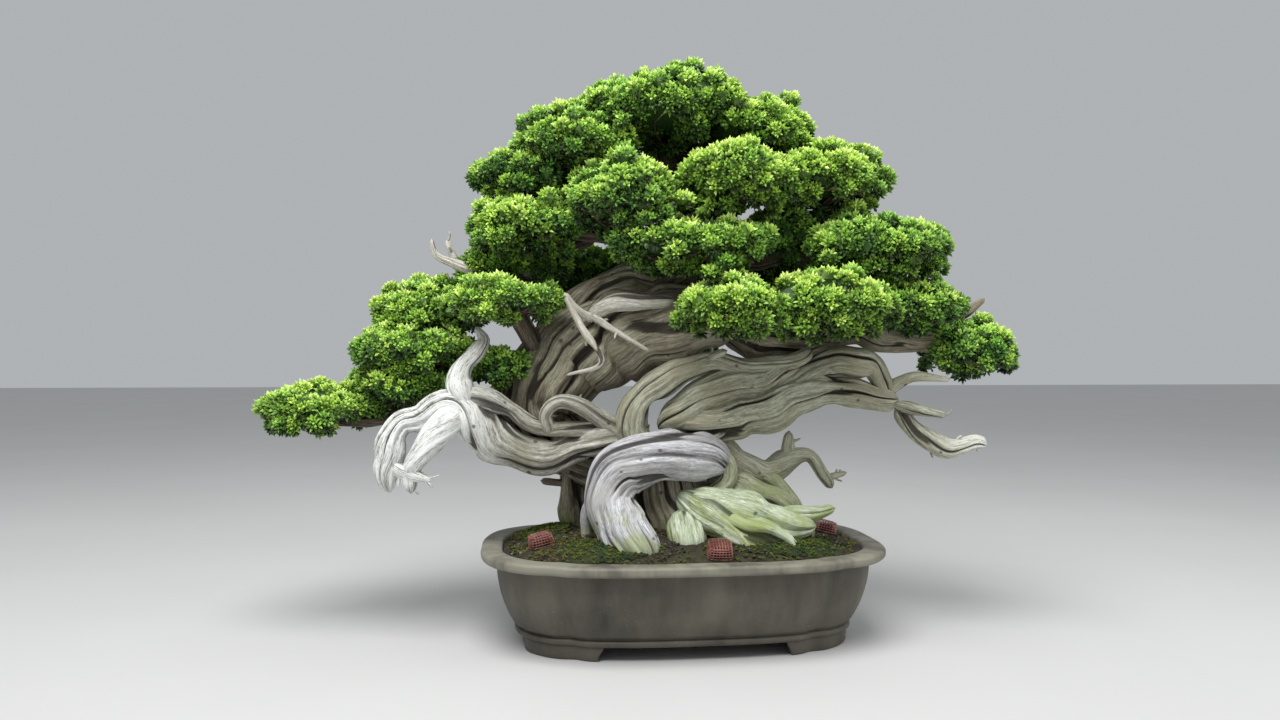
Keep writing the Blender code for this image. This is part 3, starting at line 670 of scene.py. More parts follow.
def screen_threads(middle):
    """Threads both ways; height is a cosine of the place, turned over on every other one."""
    places = np.linspace(-1, 1, 17) * (SCREEN_SIDE / 2 - THREAD)
    run = np.linspace(-1, 1, 49) * (SCREEN_SIDE / 2 - THREAD)
    threads = []
    for number, place in enumerate(places):
        sign = 1 if number % 2 else -1
        wave = 0.00038 * sign * np.cos(run / (places[1] - places[0]) * math.pi)
        across = np.full_like(run, place)
        threads.append(bar(np.stack([run, across, wave], -1) + middle, THREAD))
        threads.append(bar(np.stack([across, run, -wave], -1) + middle, THREAD))
    return strips(threads)


mesh_plastic = Finish("black_mesh", 0.45)
dust = mesh_plastic.speckle(mesh_plastic.place(), 240.0)
mesh_material = mesh_plastic.done(mesh_plastic.mix(dust.between(0.4, 0.8), "181819",
                                                   "3e3830"), dust, 0.0002)
for name in ("left", "right"):
    middle = np.array(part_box(f"drain_screen_{name}")).sum(0) / 2
    make_piece(f"screen_{name}", screen_threads(middle), mesh_material,
               [f"drain_screen_{name}"])

# %% [markdown]
# ## Soil
#
# Bonsai soil is sifted grit. One closed mound fills the pot, and loose grains of
# a few sizes lie on it. A grain is an icosahedron of twenty faces, pushed about
# at random; it is small enough for its flat faces to look broken, not modelled.

# %% The mound
SOIL_INSET = LIP_OVERHANG + WALL + 0.0005
HALF_LENGTH, HALF_DEPTH = POT_LENGTH / 2 - SOIL_INSET, POT_DEPTH / 2 - SOIL_INSET
SOIL_EDGE, MOUND_HEIGHT = POT_HEIGHT - 0.006, 0.034


def soil_height(x, y):
    """Edge height plus mound height times 1 - u^(2/3), u = |x/a|^3 + |y/b|^3."""
    u = np.abs(x / HALF_LENGTH) ** OUTLINE_POWER + np.abs(y / HALF_DEPTH) ** OUTLINE_POWER
    return SOIL_EDGE + MOUND_HEIGHT * (1 - np.minimum(u, 1) ** (2 / OUTLINE_POWER))


def soil_mound():
    """Rings up the pot's inner wall, then inwards over the mound, with lumps and pits."""
    turns = even_turns(220)
    wall = [(body_inset(z) + WALL + 0.001, z) for z in np.linspace(FOOT_TOP + 0.012, LIP_LOW, 8)]
    sides = carried_round([(0.12, FLOOR_TOP + 0.003), (0.07, FLOOR_TOP + 0.003)] + wall, turns)
    shares = np.linspace(1, 0.02, 60)[:, None]
    edge_x, edge_y = outline(SOIL_INSET + 0.0005, turns)
    x, y = edge_x * shares, edge_y * shares
    coarse, fine = noise(x * 38, y * 38, 0, 11), noise(x * 120, y * 120, 0, 12)
    lumps = 0.005 * (coarse - 0.5) + 0.0035 * (fine - 0.5)
    top = np.stack([x, y, soil_height(x, y) + lumps * np.clip((1 - shares) * 12, 0, 1)], -1)
    return skin(from_pot(np.concatenate([sides, top])), inwards=True)


soil = Finish("damp_soil", 0.9)
spot = soil.place()
crumbs = soil.speckle(spot, 260.0, 4.0, 0.7)
patches = soil.speckle(spot, 26.0, 3.0)
toned = soil.ramp(crumbs, (0.32, "14110d"), (0.55, "30291f"), (0.78, "584e3a"))
toned = soil.mix(patches.between(0.50, 0.66) * 0.7, toned, "3e421e")
soil_material = soil.done(toned, crumbs, 0.003, 0.9)
make_piece("soil_mound", soil_mound(), soil_material, ["soil"])

# %% [markdown]
# ## Small shapes by the thousand
#
# Grains, moss stems and leaf sprays are one small shape repeated. A template's
# points are multiplied by each copy's axes and moved to its place, all as arrays.
# Each copy carries a shade and a kind in its flat map: the colour is worked out
# from these two numbers, so one small colour chart serves every copy.

# %% Scatter a template
GOLD = (1 + math.sqrt(5)) / 2
SIGNS = [(s, t) for s in (-1, 1) for t in (-1, 1)]
ICO_POINTS = unit(np.array([(s, t * GOLD, 0) for s, t in SIGNS]
                           + [(0, s, t * GOLD) for s, t in SIGNS]
                           + [(s * GOLD, 0, t) for s, t in SIGNS], float))


def icosahedron():
    """Twelve points, and the twenty triples of them that lie one edge apart."""
    apart = np.linalg.norm(ICO_POINTS[:, None] - ICO_POINTS[None], axis=-1)
    edge = apart[apart > 0.01].min() * 1.05
    faces = []
    for a, b, c in itertools.combinations(range(len(ICO_POINTS)), 3):
        if max(apart[a, b], apart[b, c], apart[a, c]) < edge:
            normal = np.cross(ICO_POINTS[b] - ICO_POINTS[a], ICO_POINTS[c] - ICO_POINTS[a])
            faces.append((a, b, c) if normal @ ICO_POINTS[a] > 0 else (a, c, b))
    return ICO_POINTS, np.array(faces)


def across(axis, spin):
    """Two directions square to each axis and to each other, turned by a spin."""
    helper = np.where(np.abs(axis[..., 2:]) < 0.8, (0.0, 0.0, 1.0), (1.0, 0.0, 0.0))
    first = unit(np.cross(axis, helper))
    second = np.cross(axis, first)
    cos, sin = np.cos(spin)[..., None], np.sin(spin)[..., None]
    return first * cos + second * sin, second * cos - first * sin


def scattered_grains(places, sizes, shades, kinds, rng):
    """An icosahedron at each place, each point pushed in or out by up to a third."""
    template, faces = icosahedron()
    count = len(places)
    push = rng.uniform(0.66, 1.1, (count, 12, 1))
    squash = rng.uniform(0.6, 1.0, (count, 1, 3))
    points = places[:, None] + template * push * squash * sizes[:, None, None]
    tris = faces[None] + 12 * np.arange(count)[:, None, None]
    corner = np.array([(0, 0), (0.01, 0), (0, 0.01)])
    base = np.stack([shades, kinds], -1)[:, None, None]
    uvs = np.broadcast_to(base + corner, (count, 20, 3, 2))
    return {"points": points.reshape(-1, 3), "tris": tris.reshape(-1, 3),
            "uvs": uvs.reshape(-1, 3, 2)}


# %% Loose grit


def over_soil(count, rng):
    """Places spread evenly over the soil, as turns and square roots of shares."""
    turn = rng.uniform(0, math.tau, count)
    share = np.sqrt(rng.uniform(0, 1, count)) * 0.985
    edge_x, edge_y = outline(SOIL_INSET + 0.003, turn)
    return edge_x * share, edge_y * share


GRIT_COUNT = 2600
rng = np.random.default_rng(41)
x, y = over_soil(GRIT_COUNT, rng)
sizes = rng.uniform(0.0012, 0.0031, GRIT_COUNT)
places = from_pot(np.stack([x, y, soil_height(x, y) + sizes * 0.2], -1))
grit = scattered_grains(places, sizes, rng.uniform(0.02, 0.97, GRIT_COUNT),
                        rng.uniform(0.02, 0.97, GRIT_COUNT), rng)

grain = Finish("grit", 0.85)
shade, kind = grain.chart()
toned = grain.ramp(shade, (0.0, "14110e"), (0.6, "362e24"), (0.9, "5e5442"), (1.0, "968e7c"))
toned = grain.mix(kind.between(0.7, 0.8) * 0.6, toned, "543428")
make_piece("loose_grit", grit, grain.done(toned), smooth=False)

# %% [markdown]
# ## Sprays
#
# A leaf spray of this juniper is a bunch of short blunt fingers of scale leaves.
# Each finger is a spindle of six faces: a root point, three points at its widest,
# and a tip. Five fingers fan out from one point. The same bunch, smaller, is moss.

# %% A bunch of fingers


def sprays(roots, axes, length, width, shades, kinds, rng, fingers=5, fan=0.75, blunt=0.62):
    """Spindles that fan out from each root about its axis.

    A finger points along axis cos(fan) + sideways sin(fan); its ring of three
    points sits at the blunt share of its length. The flat map runs from the dark
    shade at the root to the light shade at the tip.
    """
    count = len(roots)
    spin = rng.uniform(0, math.tau, (count, 1)) + np.arange(fingers) * math.tau / (fingers - 1)
    lean = np.full(fingers, fan)
    lean[0] = 0.12
    lean = lean * rng.uniform(0.75, 1.2, (count, fingers))
    first, second = across(np.repeat(axes[:, None], fingers, 1), spin)
    pointing = axes[:, None] * np.cos(lean)[..., None] + first * np.sin(lean)[..., None]
    side, other = across(pointing, spin)
    long = (length[:, None] * rng.uniform(0.75, 1.15, (count, fingers)))[..., None]
    wide = (width[:, None] * rng.uniform(0.85, 1.15, (count, fingers)))[..., None]
    root = np.repeat(roots[:, None], fingers, 1)
    rings = [root + pointing * long * blunt
             + wide * (side * math.cos(t) + other * math.sin(t)) for t in circle(3)]
    points = np.stack([root, *rings, root + pointing * long], 2)
    faces = np.array([(0, 2, 1), (0, 3, 2), (0, 1, 3), (4, 1, 2), (4, 2, 3), (4, 3, 1)])
    tris = faces[None, None] + 5 * np.arange(count * fingers).reshape(count, fingers, 1, 1)
    dark, light = shades
    steps = np.array([0, blunt, blunt, blunt, 1.0])
    shade = dark[:, None] + (light - dark)[:, None] * steps
    shade = np.repeat(np.clip(shade, 0.01, 0.99)[:, None], fingers, 1)
    offsets = np.array([0.0, -0.012, 0.0, 0.012, 0.0])
    kind = np.clip(kinds, 0.02, 0.98)[:, None, None] + offsets
    kind = np.broadcast_to(kind, shade.shape)
    corner = np.stack([shade, kind], -1)[:, :, faces]
    return {"points": points.reshape(-1, 3), "tris": tris.reshape(-1, 3),
            "uvs": corner.reshape(-1, 3, 2)}


# %% [markdown]
# ## Moss
#
# Each cushion is a low dome that follows the soil, bumpy at the scale of a
# fingertip, and covered with stems a few millimetres long. Moss is bright where
# it is damp, and olive to rust where it has dried, in patches.

# %% Moss cushions
MOSS_THICKNESS, STEM_SPACING = 0.007, 0.0040
MOSS = {  # (place along X, place along Y), (half length, half depth), shares of the soil's
    "moss_left": ((-.78, .24), (.175, .350)),
    "moss_front_left": ((-.46, -.70), (.260, .200)),
    "moss_front_right": ((.50, -.66), (.295, .200)),
    "moss_back_left": ((-.42, .72), (.320, .200)),
    "moss_back_right": ((.36, .74), (.320, .175)),
}


def cushion_point(place, half, share, turn):
    """A lobed ellipse at a share of its size, lifted by 0.35 + 0.65 sqrt(1 - share^2)."""
    wobble = 1 + 0.07 * np.sin(3 * turn + place[0] * 9) + 0.05 * np.sin(5 * turn)
    x = HALF_LENGTH * (place[0] + half[0] * share * wobble * np.cos(turn))
    y = HALF_DEPTH * (place[1] + half[1] * share * wobble * np.sin(turn))
    thick = MOSS_THICKNESS * (0.35 + 0.65 * np.sqrt(np.maximum(1 - share**2, 0)))
    bumps = 0.0035 * (noise(x * 75, y * 75, 0, 21) - 0.35)
    return x, y, soil_height(x, y) + thick + bumps


def moss_shades(x, y, rng):
    """Kind of moss by place: slow noise, so that dry and damp patches form."""
    slow = noise(x * 16, y * 16, 0, 31)
    mid = noise(x * 60, y * 60, 0, 32)
    return np.clip(0.15 + 0.9 * slow * 0.6 + 0.5 * (mid - 0.4) + rng.normal(0, 0.06, x.shape), 0, 1)


def moss_stems(x, y, z, rng):
    """Short sprays that stand up and lean a little at random."""
    count = len(x)
    axes = unit(np.stack([rng.normal(0, 0.35, count), rng.normal(0, 0.35, count),
                          np.ones(count)], -1))
    light = rng.uniform(0.55, 0.95, count)
    roots = from_pot(np.stack([x, y, z - 0.001], -1))
    length, width = rng.uniform(0.003, 0.0055, count), rng.uniform(0.0005, 0.0008, count)
    return sprays(roots, axes, length, width, (light - 0.5, light), moss_shades(x, y, rng), rng,
                  fan=0.6)


def moss_cushion(place, half, rng):
    """The dome, its underside, and stems at one for every 16 square millimetres."""
    turn = circle(96)
    shares = np.linspace(1, 0.03, 22)[:, None]
    x, y, z = cushion_point(place, half, shares, turn[None])
    under = np.stack([x[:1], y[:1], soil_height(x[:1], y[:1]) - 0.002], -1)
    top = np.stack([x, y, z], -1)
    dome = skin(from_pot(np.concatenate([under, top])), inwards=True)
    tone = noise(dome["points"][:, 0] * 90, dome["points"][:, 1] * 90, 0, 33)[dome["tris"]]
    dome["uvs"] = np.stack([0.10 + 0.2 * tone, 0.3 + 0.4 * np.roll(tone, 1, 1)], -1)
    area = math.pi * half[0] * HALF_LENGTH * half[1] * HALF_DEPTH
    count = int(area / STEM_SPACING**2)
    turn = rng.uniform(0, math.tau, count)
    share = np.sqrt(rng.uniform(0, 1, count))
    x, y, z = cushion_point(place, half, share, turn)
    return together([dome, moss_stems(x, y, z, rng)])


moss = Finish("moss", 0.85)
shade, kind = moss.chart()
green = moss.ramp(shade, (0.0, "0a1204"), (0.5, "283c0a"), (1.0, "708e22"))
olive = moss.ramp(shade, (0.0, "121206"), (0.5, "424410"), (1.0, "929234"))
rust = moss.ramp(shade, (0.0, "18120a"), (0.5, "46361c"), (1.0, "806c40"))
toned = moss.mix(kind.between(0.42, 0.62), green, olive)
moss_material = moss.done(moss.mix(kind.between(0.68, 0.86), toned, rust))

for number, (name, (place, half)) in enumerate(MOSS.items()):
    surface = moss_cushion(place, half, np.random.default_rng(50 + number))
    make_piece(f"{name}_cushion", surface, moss_material, [name])

# %% [markdown]
# Between the cushions moss creeps thinly over the grit, thickest at the front and
# the left, and bare at the right rear where the soil is fresh.

# %% Creeping moss
CREEP_COUNT = 3200
rng = np.random.default_rng(61)
x, y = over_soil(CREEP_COUNT, rng)
likely = 0.62 - 0.8 * x - 1.6 * y + 1.2 * (noise(x * 30, y * 30, 0, 62) - 0.5)
kept = likely > rng.uniform(0.25, 0.75, CREEP_COUNT)
x, y = x[kept], y[kept]
make_piece("creeping_moss", moss_stems(x, y, soil_height(x, y) + 0.001, rng), moss_material)

# %% [markdown]
# ## Feed baskets
#
# Cakes of rape-seed feed rot slowly on the soil, each under a small plastic cage
# that is pegged down so birds can't pull the cake out. The cage is a grid of thin
# bars over a squarish dome: arches both ways, and level hoops round the sides.

# %% A cage of bars
BASKET_SIDE, BASKET_HEIGHT, BASKET_SQUARE = 0.036, 0.0175, 0.4
CAGE_BAR, SKIN_GAP, ARCHES, HOOPS = 0.00046, 0.0006, 8, 5
CAKE_HALF, CAKE_MIDDLE, CAKE_RISE, CAKE_SQUARE = 0.0115, 0.0062, 0.0054, 0.6
BASKETS = {
    "left": ((-.79, -.36), math.radians(12)),
    "front": ((.12, -.85), math.radians(-4)),
    "right": ((.88, .16), math.radians(70)),
}


def stand_on_soil(points, place, turn):
    """Turned about the vertical, tilted square to the soil, and moved to its place."""
    x, y = place[0] * HALF_LENGTH, place[1] * HALF_DEPTH
    step = BASKET_SIDE / 2
    slope_x = (soil_height(x + step, y) - soil_height(x - step, y)) / (2 * step)
    slope_y = (soil_height(x, y + step) - soil_height(x, y - step)) / (2 * step)
    up = unit(np.array([-slope_x, -slope_y, 1.0]))
    right = unit(np.cross((0.0, 1.0, 0.0), up))
    back = np.cross(up, right)
    px, py, pz = np.moveaxis(points, -1, 0)
    cos, sin = math.cos(turn), math.sin(turn)
    rx, ry = px * cos - py * sin, px * sin + py * cos
    foot = np.array([x, y, soil_height(x, y) + 0.002])
    return from_pot(foot + rx[..., None] * right + ry[..., None] * back + pz[..., None] * up)


def cage():
    """Arches |x/s|^5 + (z/h)^5 = 1 both ways, and hoops |x/s|^5 + |y/s|^5 = 1."""
    bars = []
    half = BASKET_SIDE / 2 - SKIN_GAP
    turn = np.linspace(0, math.pi, 33)
    for share in np.linspace(-0.9, 0.9, ARCHES):
        high = BASKET_HEIGHT * (1 - 0.35 * abs(share) ** 6) - SKIN_GAP
        narrow = half * (1 - 0.12 * abs(share) ** 6)
        x = narrow * signed_power(np.cos(turn), BASKET_SQUARE)
        z = high * np.abs(np.sin(turn)) ** BASKET_SQUARE
        lean = 1 - 0.15 * z / BASKET_HEIGHT
        line = np.full_like(x, share * half) * lean
        for way in ([x * lean, line, z], [line, x * lean, z]):
            bars.append(bar(np.stack(way, -1), CAGE_BAR))
    turn = np.linspace(0, math.tau, 57)
    for height in np.linspace(0.0008, BASKET_HEIGHT * 0.86, HOOPS):
        lean = (1 - 0.15 * height / BASKET_HEIGHT) * half
        x, y = (lean * signed_power(side, BASKET_SQUARE) for side in (np.cos(turn), np.sin(turn)))
        bars.append(bar(np.stack([x, y, np.full_like(x, height)], -1), CAGE_BAR))
    return strips(bars)


def feed_cake():
    """A rounded block, x = cos^0.6 and so on, with crumbly noise of a millimetre."""
    tilt, turn = round_shape(22, 40, 0.05)
    cos, sin = signed_power(np.cos(tilt), CAKE_SQUARE), signed_power(np.sin(tilt), CAKE_SQUARE)
    x = CAKE_HALF * cos * signed_power(np.cos(turn), CAKE_SQUARE)
    y = CAKE_HALF * cos * signed_power(np.sin(turn), CAKE_SQUARE)
    z = CAKE_MIDDLE + CAKE_RISE * sin + 0 * turn
    rough = 1 + 0.13 * (noise(x * 500, y * 500, z * 500, 71) - 0.5)
    rough += 0.12 * (noise(x * 190, y * 190, z * 190, 72) - 0.5)
    return skin(np.stack([x * rough, y * rough, z * rough], -1), inwards=True)


basket = Finish("basket_plastic", 0.42)
spot = basket.place()
fading = basket.speckle(spot, 60.0, 3.0)
grime = basket.speckle(spot, 210.0, 3.0)
toned = basket.mix(fading.between(0.3, 0.7), "783e3a", "ba8272")
toned = basket.mix(grime.between(0.55, 0.75) * 0.6, toned, "603e34")
basket_material = basket.done(toned, grime, 0.0002)
feed = Finish("feed_cake", 0.9)
crumbs = feed.speckle(feed.place(), 420.0, 4.0, 0.7)
feed_material = feed.done(feed.ramp(crumbs, (0.3, "2c1012"), (0.55, "542022"),
                                    (0.8, "7a3a34")), crumbs, 0.0012, 0.9)
for name, (place, turn) in BASKETS.items():
    for label, made, finish, slot in (("basket", cage(), basket_material, "basket"),
                                      ("cake", feed_cake(), feed_material, "feed")):
        made["points"] = stand_on_soil(made["points"], place, turn)
        make_piece(f"{label}_{name}", made, finish, [f"feed_{label}_{name}"])

# %% [markdown]
# ## Wood
#
# Every limb is made of strands: tubes along smooth routes, as the grower's wires
# and the weather left them. A route lists x, y, z and radius in millimetres, in the
# tree's frame. Dead juniper wood splits into long ribs that twist round the limb,
# with cracks between them, so a strand's radius is pushed in and out by noise that
# is short round the limb and long along it. The same stretched place is kept on
# each point, and the finish draws its fibres with it, so fibres follow the ribs.

# %% Routes of the living wood
LIVING = {
    "live_trunk": """
-8 10 -45 70, -13 10 -10 66, -19 10 58 60, -28 15 120 52, -40 20 158 36;
-46 30 90 44, -107 40 112 50, -177 45 146 54, -224 40 183 57, -214 30 226 59, -160 20 273 62,
  -99 10 305 64, -31 0 322 60, 29 0 322 50, 82 0 308 36;
-190 20 296 22, -137 20 355 30, -84 20 380 34, -23 20 376 32, 35 20 350 24;
-150 50 150 28, -167 55 91 23, -164 60 35 24, -171 65 -15 22;
-155 55 76 9, -215 42 84 4;
-45 45 320 20, -48 90 300 13, -45 140 286 6""",
    "leader": """
-61 20 330 50, -18 30 377 45, 7 35 438 36, 6 30 491 29, -18 30 545 21, -34 35 600 13;
-4 45 410 18, -60 100 405 13, -130 165 400 6;
10 45 405 18, 70 95 395 13, 150 155 385 6;
5 40 495 14, 3 90 520 10, 0 150 540 5;
-28 34 578 9, 30 35 592 8, 105 30 628 4""",
    "right_limb": """
60 0 312 40, 143 10 303 34, 213 20 312 28, 289 20 310 23, 356 15 304 17, 404 10 314 9;
85 -5 318 14, 78 -50 330 10, 70 -110 342 5;
213 15 318 12, 205 -40 335 9, 204 -90 346 5;
300 18 315 10, 325 5 336 8, 345 0 348 4;
325 20 308 10, 368 22 290 8, 425 12 276 4;
370 12 308 8, 425 10 337 8, 460 10 363 3""",
    "branch_left_low": """
-215 55 215 20, -296 70 212 16, -365 60 197 13, -428 30 188 11, -481 0 180 9, -538 -10 180 5""",
    "branch_left_middle": """
-205 35 255 16, -290 50 262 13, -350 40 272 10, -425 30 276 6;
-310 47 266 10, -350 60 308 8, -400 62 342 5""",
    "branch_left_front": """
-200 10 262 17, -214 -5 292 16, -236 -25 322 13, -245 -55 345 9, -262 -70 358 6;
-212 -5 285 10, -236 -10 272 7, -264 -2 262 4""",
    "branch_right_middle": """
0 30 395 20, 70 12 418 16, 150 12 428 13, 230 0 428 10, 320 -10 430 5;
20 15 405 12, 15 -30 415 10, 10 -80 430 6;
130 12 426 9, 175 40 442 6""",
    "branch_left_upper": """
0 35 440 18, -70 20 452 15, -140 10 458 11, -220 0 468 6;
-70 20 454 10, -85 -30 474 8, -92 -72 494 5;
-130 12 456 9, -190 45 430 7, -250 70 416 4""",
    "branch_right_upper": """
0 30 495 16, 60 -5 515 13, 130 -10 530 10, 215 0 542 5;
56 -4 514 9, 68 -35 518 8, 78 -70 524 5""",
    "branch_crown": """
-15 30 538 12, -80 20 552 10, -160 30 550 8, -235 30 552 4;
-85 20 552 8, -120 5 572 6, -150 0 596 4""",
}

# %% Routes of the dead wood
DEAD = {
    "deadwood_front_root": """
70 -20 112 20, 30 -40 130 33, -34 -65 132 37, -88 -80 112 36, -106 -90 74 34, -84 -104 36 34,
  -60 -118 8 35, -46 -126 -30 32;
-88 -75 85 20, -101 -56 38 17, -106 -55 -20 17;
-118 -76 82 8, -139 -60 50 7, -137 -55 -10 8""",
    "deadwood_left_arm": """
-38 0 149 28, -98 -20 156 24, -156 -35 137 22, -214 -40 130 24, -265 -45 153 28, -300 -50 188 29,
  -333 -55 203 23, -371 -60 190 17, -405 -65 182 16, -422 -70 155 19, -424 -70 115 19,
  -417 -70 78 8;
-110 -28 168 13, -163 -40 167 12, -206 -50 172 13, -246 -55 200 14, -285 -58 216 17,
  -318 -58 213 17;
-316 -65 201 21, -345 -78 170 18, -372 -85 135 16, -387 -85 107 13, -384 -85 80 7;
-412 -75 120 13, -386 -85 107 10, -354 -90 99 4;
-306 -60 200 22, -320 -60 229 18, -316 -60 260 13, -296 -60 282 10, -287 -55 300 7,
  -300 -50 318 3;
-190 -50 160 10, -196 -60 193 10, -176 -60 210 10, -141 -50 199 12, -105 -35 174 13,
  -73 -20 151 15;
-225 -25 142 20, -277 -18 133 17, -306 -12 127 13""",
    "deadwood_right_arm": """
-55 -15 140 22, -76 -35 174 23, -54 -40 216 21, -10 -40 247 19, 49 -38 262 16, 108 -38 262 13,
  160 -30 268 12, 194 -20 284 12;
22 -40 262 10, 67 -50 283 4;
-31 0 142 36, 21 -15 171 36, 80 -20 191 36, 146 -20 205 34, 194 -20 220 24, 242 -20 222 20,
  287 -20 208 18, 324 -20 210 17;
-30 -30 170 22, 10 -36 206 20, 70 -36 232 24, 130 -30 238 24, 180 -22 262 14;
110 -18 198 27, 162 -20 234 23, 195 -22 262 20, 240 -25 273 19, 283 -25 260 18, 300 -20 236 15,
  310 -20 214 13;
302 -20 222 12, 340 -25 244 7, 395 -30 242 4;
312 -25 208 15, 348 -30 195 10, 389 -30 187 4;
316 -20 198 13, 356 -20 157 12, 390 -20 136 13, 435 -20 147 11, 454 -20 142 6""",
    "deadwood_raised_branch": """
0 0 142 20, 59 5 140 21, 93 10 112 21, 128 10 98 19, 165 10 120 15, 196 10 124 11, 217 10 98 9,
  230 10 76 5;
162 10 115 13, 165 5 163 5;
222 10 90 6, 253 10 100 3""",
    "root_loops_right": """
20 -20 135 13, 60 -30 125 13, 70 -35 96 14, 46 -40 76 15, 12 -45 66 16;
40 -10 95 22, 99 -20 74 20, 143 -25 58 18, 170 -30 30 18, 182 -35 -10 17;
100 5 100 14, 130 5 88 13, 157 0 66 12, 178 -12 30 12""",
    "root_beak": """
50 -35 62 15, 80 -50 52 14, 127 -58 44 13, 181 -64 47 12, 221 -66 58 5""",
    "root_fold": """
-10 -45 72 20, 38 -70 52 27, 80 -92 24 26, 100 -102 -16 24;
5 -55 68 18, 55 -68 58 22, 105 -74 46 24, 150 -76 36 18, 190 -78 34 8;
50 -70 45 24, 95 -96 22 26, 135 -98 4 22, 150 -98 -20 18;
0 -55 55 18, 10 -84 22 22, 18 -100 -14 20""",
    "jin_trunk_front": """
-134 -40 331 12, -97 -60 350 14, -54 -64 353 12, -12 -66 357 6;
-124 -45 327 7, -150 -60 341 5, -170 -66 366 4;
-168 -66 362 4, -146 -75 319 5, -115 -85 267 4, -166 -85 248 2;
-133 -50 333 6, -90 -72 308 4, -47 -78 282 2""",
    "jin_upper_left": """
-212 30 290 17, -245 30 325 15, -272 30 366 13, -303 30 400 10, -344 30 417 8, -371 30 430 7,
  -379 30 456 4;
-340 30 416 7, -358 30 453 3""",
}

# %% A strand of wood


def strands_of(text):
    """Routes from text: commas between points and semicolons between strands."""
    return [[tuple(int(number) / 1000 for number in point.split()) for point in strand.split(",")]
            for strand in text.split(";")]


ROW_STEP, COLUMN_STEP, MOST_COLUMNS = 0.0044, 0.0020, 180


def along_route(route, spacing):
    """A Catmull-Rom curve through the route's points and radii, cut at even steps."""
    knots = np.array(route, float)
    ends = np.vstack([2 * knots[0] - knots[1], knots, 2 * knots[-1] - knots[-2]])
    place = np.linspace(0, len(knots) - 1, 40 * len(knots))
    i = np.minimum(place.astype(int), len(knots) - 2)
    t = (place - i)[:, None]
    a, b, c, d = ends[i], ends[i + 1], ends[i + 2], ends[i + 3]
    fine = 0.5 * (2 * b + (c - a) * t + (2 * a - 5 * b + 4 * c - d) * t**2
                  + (3 * b - a - 3 * c + d) * t**3)
    run = np.concatenate([[0], np.cumsum(np.linalg.norm(np.diff(fine[:, :3], axis=0), axis=1))])
    rows = max(8, int(run[-1] / spacing))
    even = np.linspace(0, run[-1], rows)
    return np.stack([np.interp(even, run, fine[:, k]) for k in range(4)], -1), even


def strand(route, seed, twist=6.0, ribs=1.0, lobes=0.32, wander=1.0):
    """A ribbed tube along a route, whose columns of points follow the grain.

    Column angle = turn - twist x length, so a rib or a crack runs down one column
    and stays sharp. Radius = route radius x (1 + lobes) + ribs + fibres - cracks,
    each a noise over (cos turn, sin turn, length), so it has no seam. The radius
    falls to nothing at both ends as (1 - (1 - g)^2)^0.7.
    """
    path, run = along_route(route, ROW_STEP)
    centre, radius = path[:, :3], np.maximum(path[:, 3], 0.0016)
    bend = [noise(run / 0.042, k * 9.1 + seed, 0, seed + k) - 0.5 for k in range(3)]
    centre = centre + np.stack(bend, -1) * wander * np.minimum(radius, 0.02)[:, None] * 0.55
    radius = radius * (1 + 0.30 * wander * (noise(run / 0.030, seed, 0, seed + 5) - 0.5))
    side, up = sides_of(centre)
    mean = radius.mean()
    cols = int(np.clip(math.tau * radius.max() / COLUMN_STEP, 12, MOST_COLUMNS))
    turn = circle(cols)[None]
    s, r = run[:, None], radius[:, None]
    ca, sa = np.cos(turn), np.sin(turn)

    def grown(width, length, number):
        """Noise with features of one width round the limb and one length along it."""
        share = np.minimum(mean / width, 30)
        return noise(ca * share + 40, sa * share + 40, s / length + 7 * number, seed * 13 + number)

    size = min(1.0, mean / 0.030)
    wide = grown(0.034, 0.11, 1)
    lump = 0.6 * (wide - 0.5) + 0.6 * (0.35 - np.abs(2 * wide - 1))
    rib = 1 - np.abs(2 * grown(0.0115, 0.16, 2) - 1) ** 0.8
    fibre = grown(0.0040, 0.10, 3) - 0.5
    split = np.exp(-((grown(0.016, 0.18, 4) - 0.5) / 0.055) ** 2)
    split = split * np.clip(3.2 * grown(0.03, 0.08, 5) - 0.9, 0, 1)
    push = r * lobes * lump + ribs * size * (0.0062 * (rib - 0.5) + 0.0036 * fibre - 0.0105 * split)
    gap = np.minimum(run, run[-1] - run)
    reach = np.where(run < run[-1] / 2, radius[0], radius[-1]) * 1.7
    close = np.clip(1 - (1 - np.clip(gap / reach, 0, 1)) ** 2, 0.0004, 1)[:, None] ** 0.7
    full = np.maximum(r + push, 0.45 * r) * close
    drift = 1.2 * (noise(run * 9, run * 0, run * 0 + seed, seed) - 0.5)[:, None]
    angle = turn - twist * s - drift
    offset = side[:, None] * np.cos(angle)[..., None] + up[:, None] * np.sin(angle)[..., None]
    grid = centre[:, None] + offset * full[..., None]
    # The hollow value marks cracks and the low places between ribs and lumps; the finish paints
    # them dark as painted shade.
    hollow = np.clip(1.1 * split + 0.9 * (0.47 - rib) - 0.8 * fibre
                     + 0.55 * np.clip(-push / 0.006 - 0.2, 0, 1), 0, 1)
    stretched = np.stack([ca * mean / 0.01 + 0 * s, sa * mean / 0.01 + 0 * s,
                          s / 0.10 + 0 * ca], -1)
    surface = skin(grid, hollow=hollow, fibre_place=stretched + seed * 3.7)
    surface["points"] = from_tree(surface["points"])
    return surface, mean


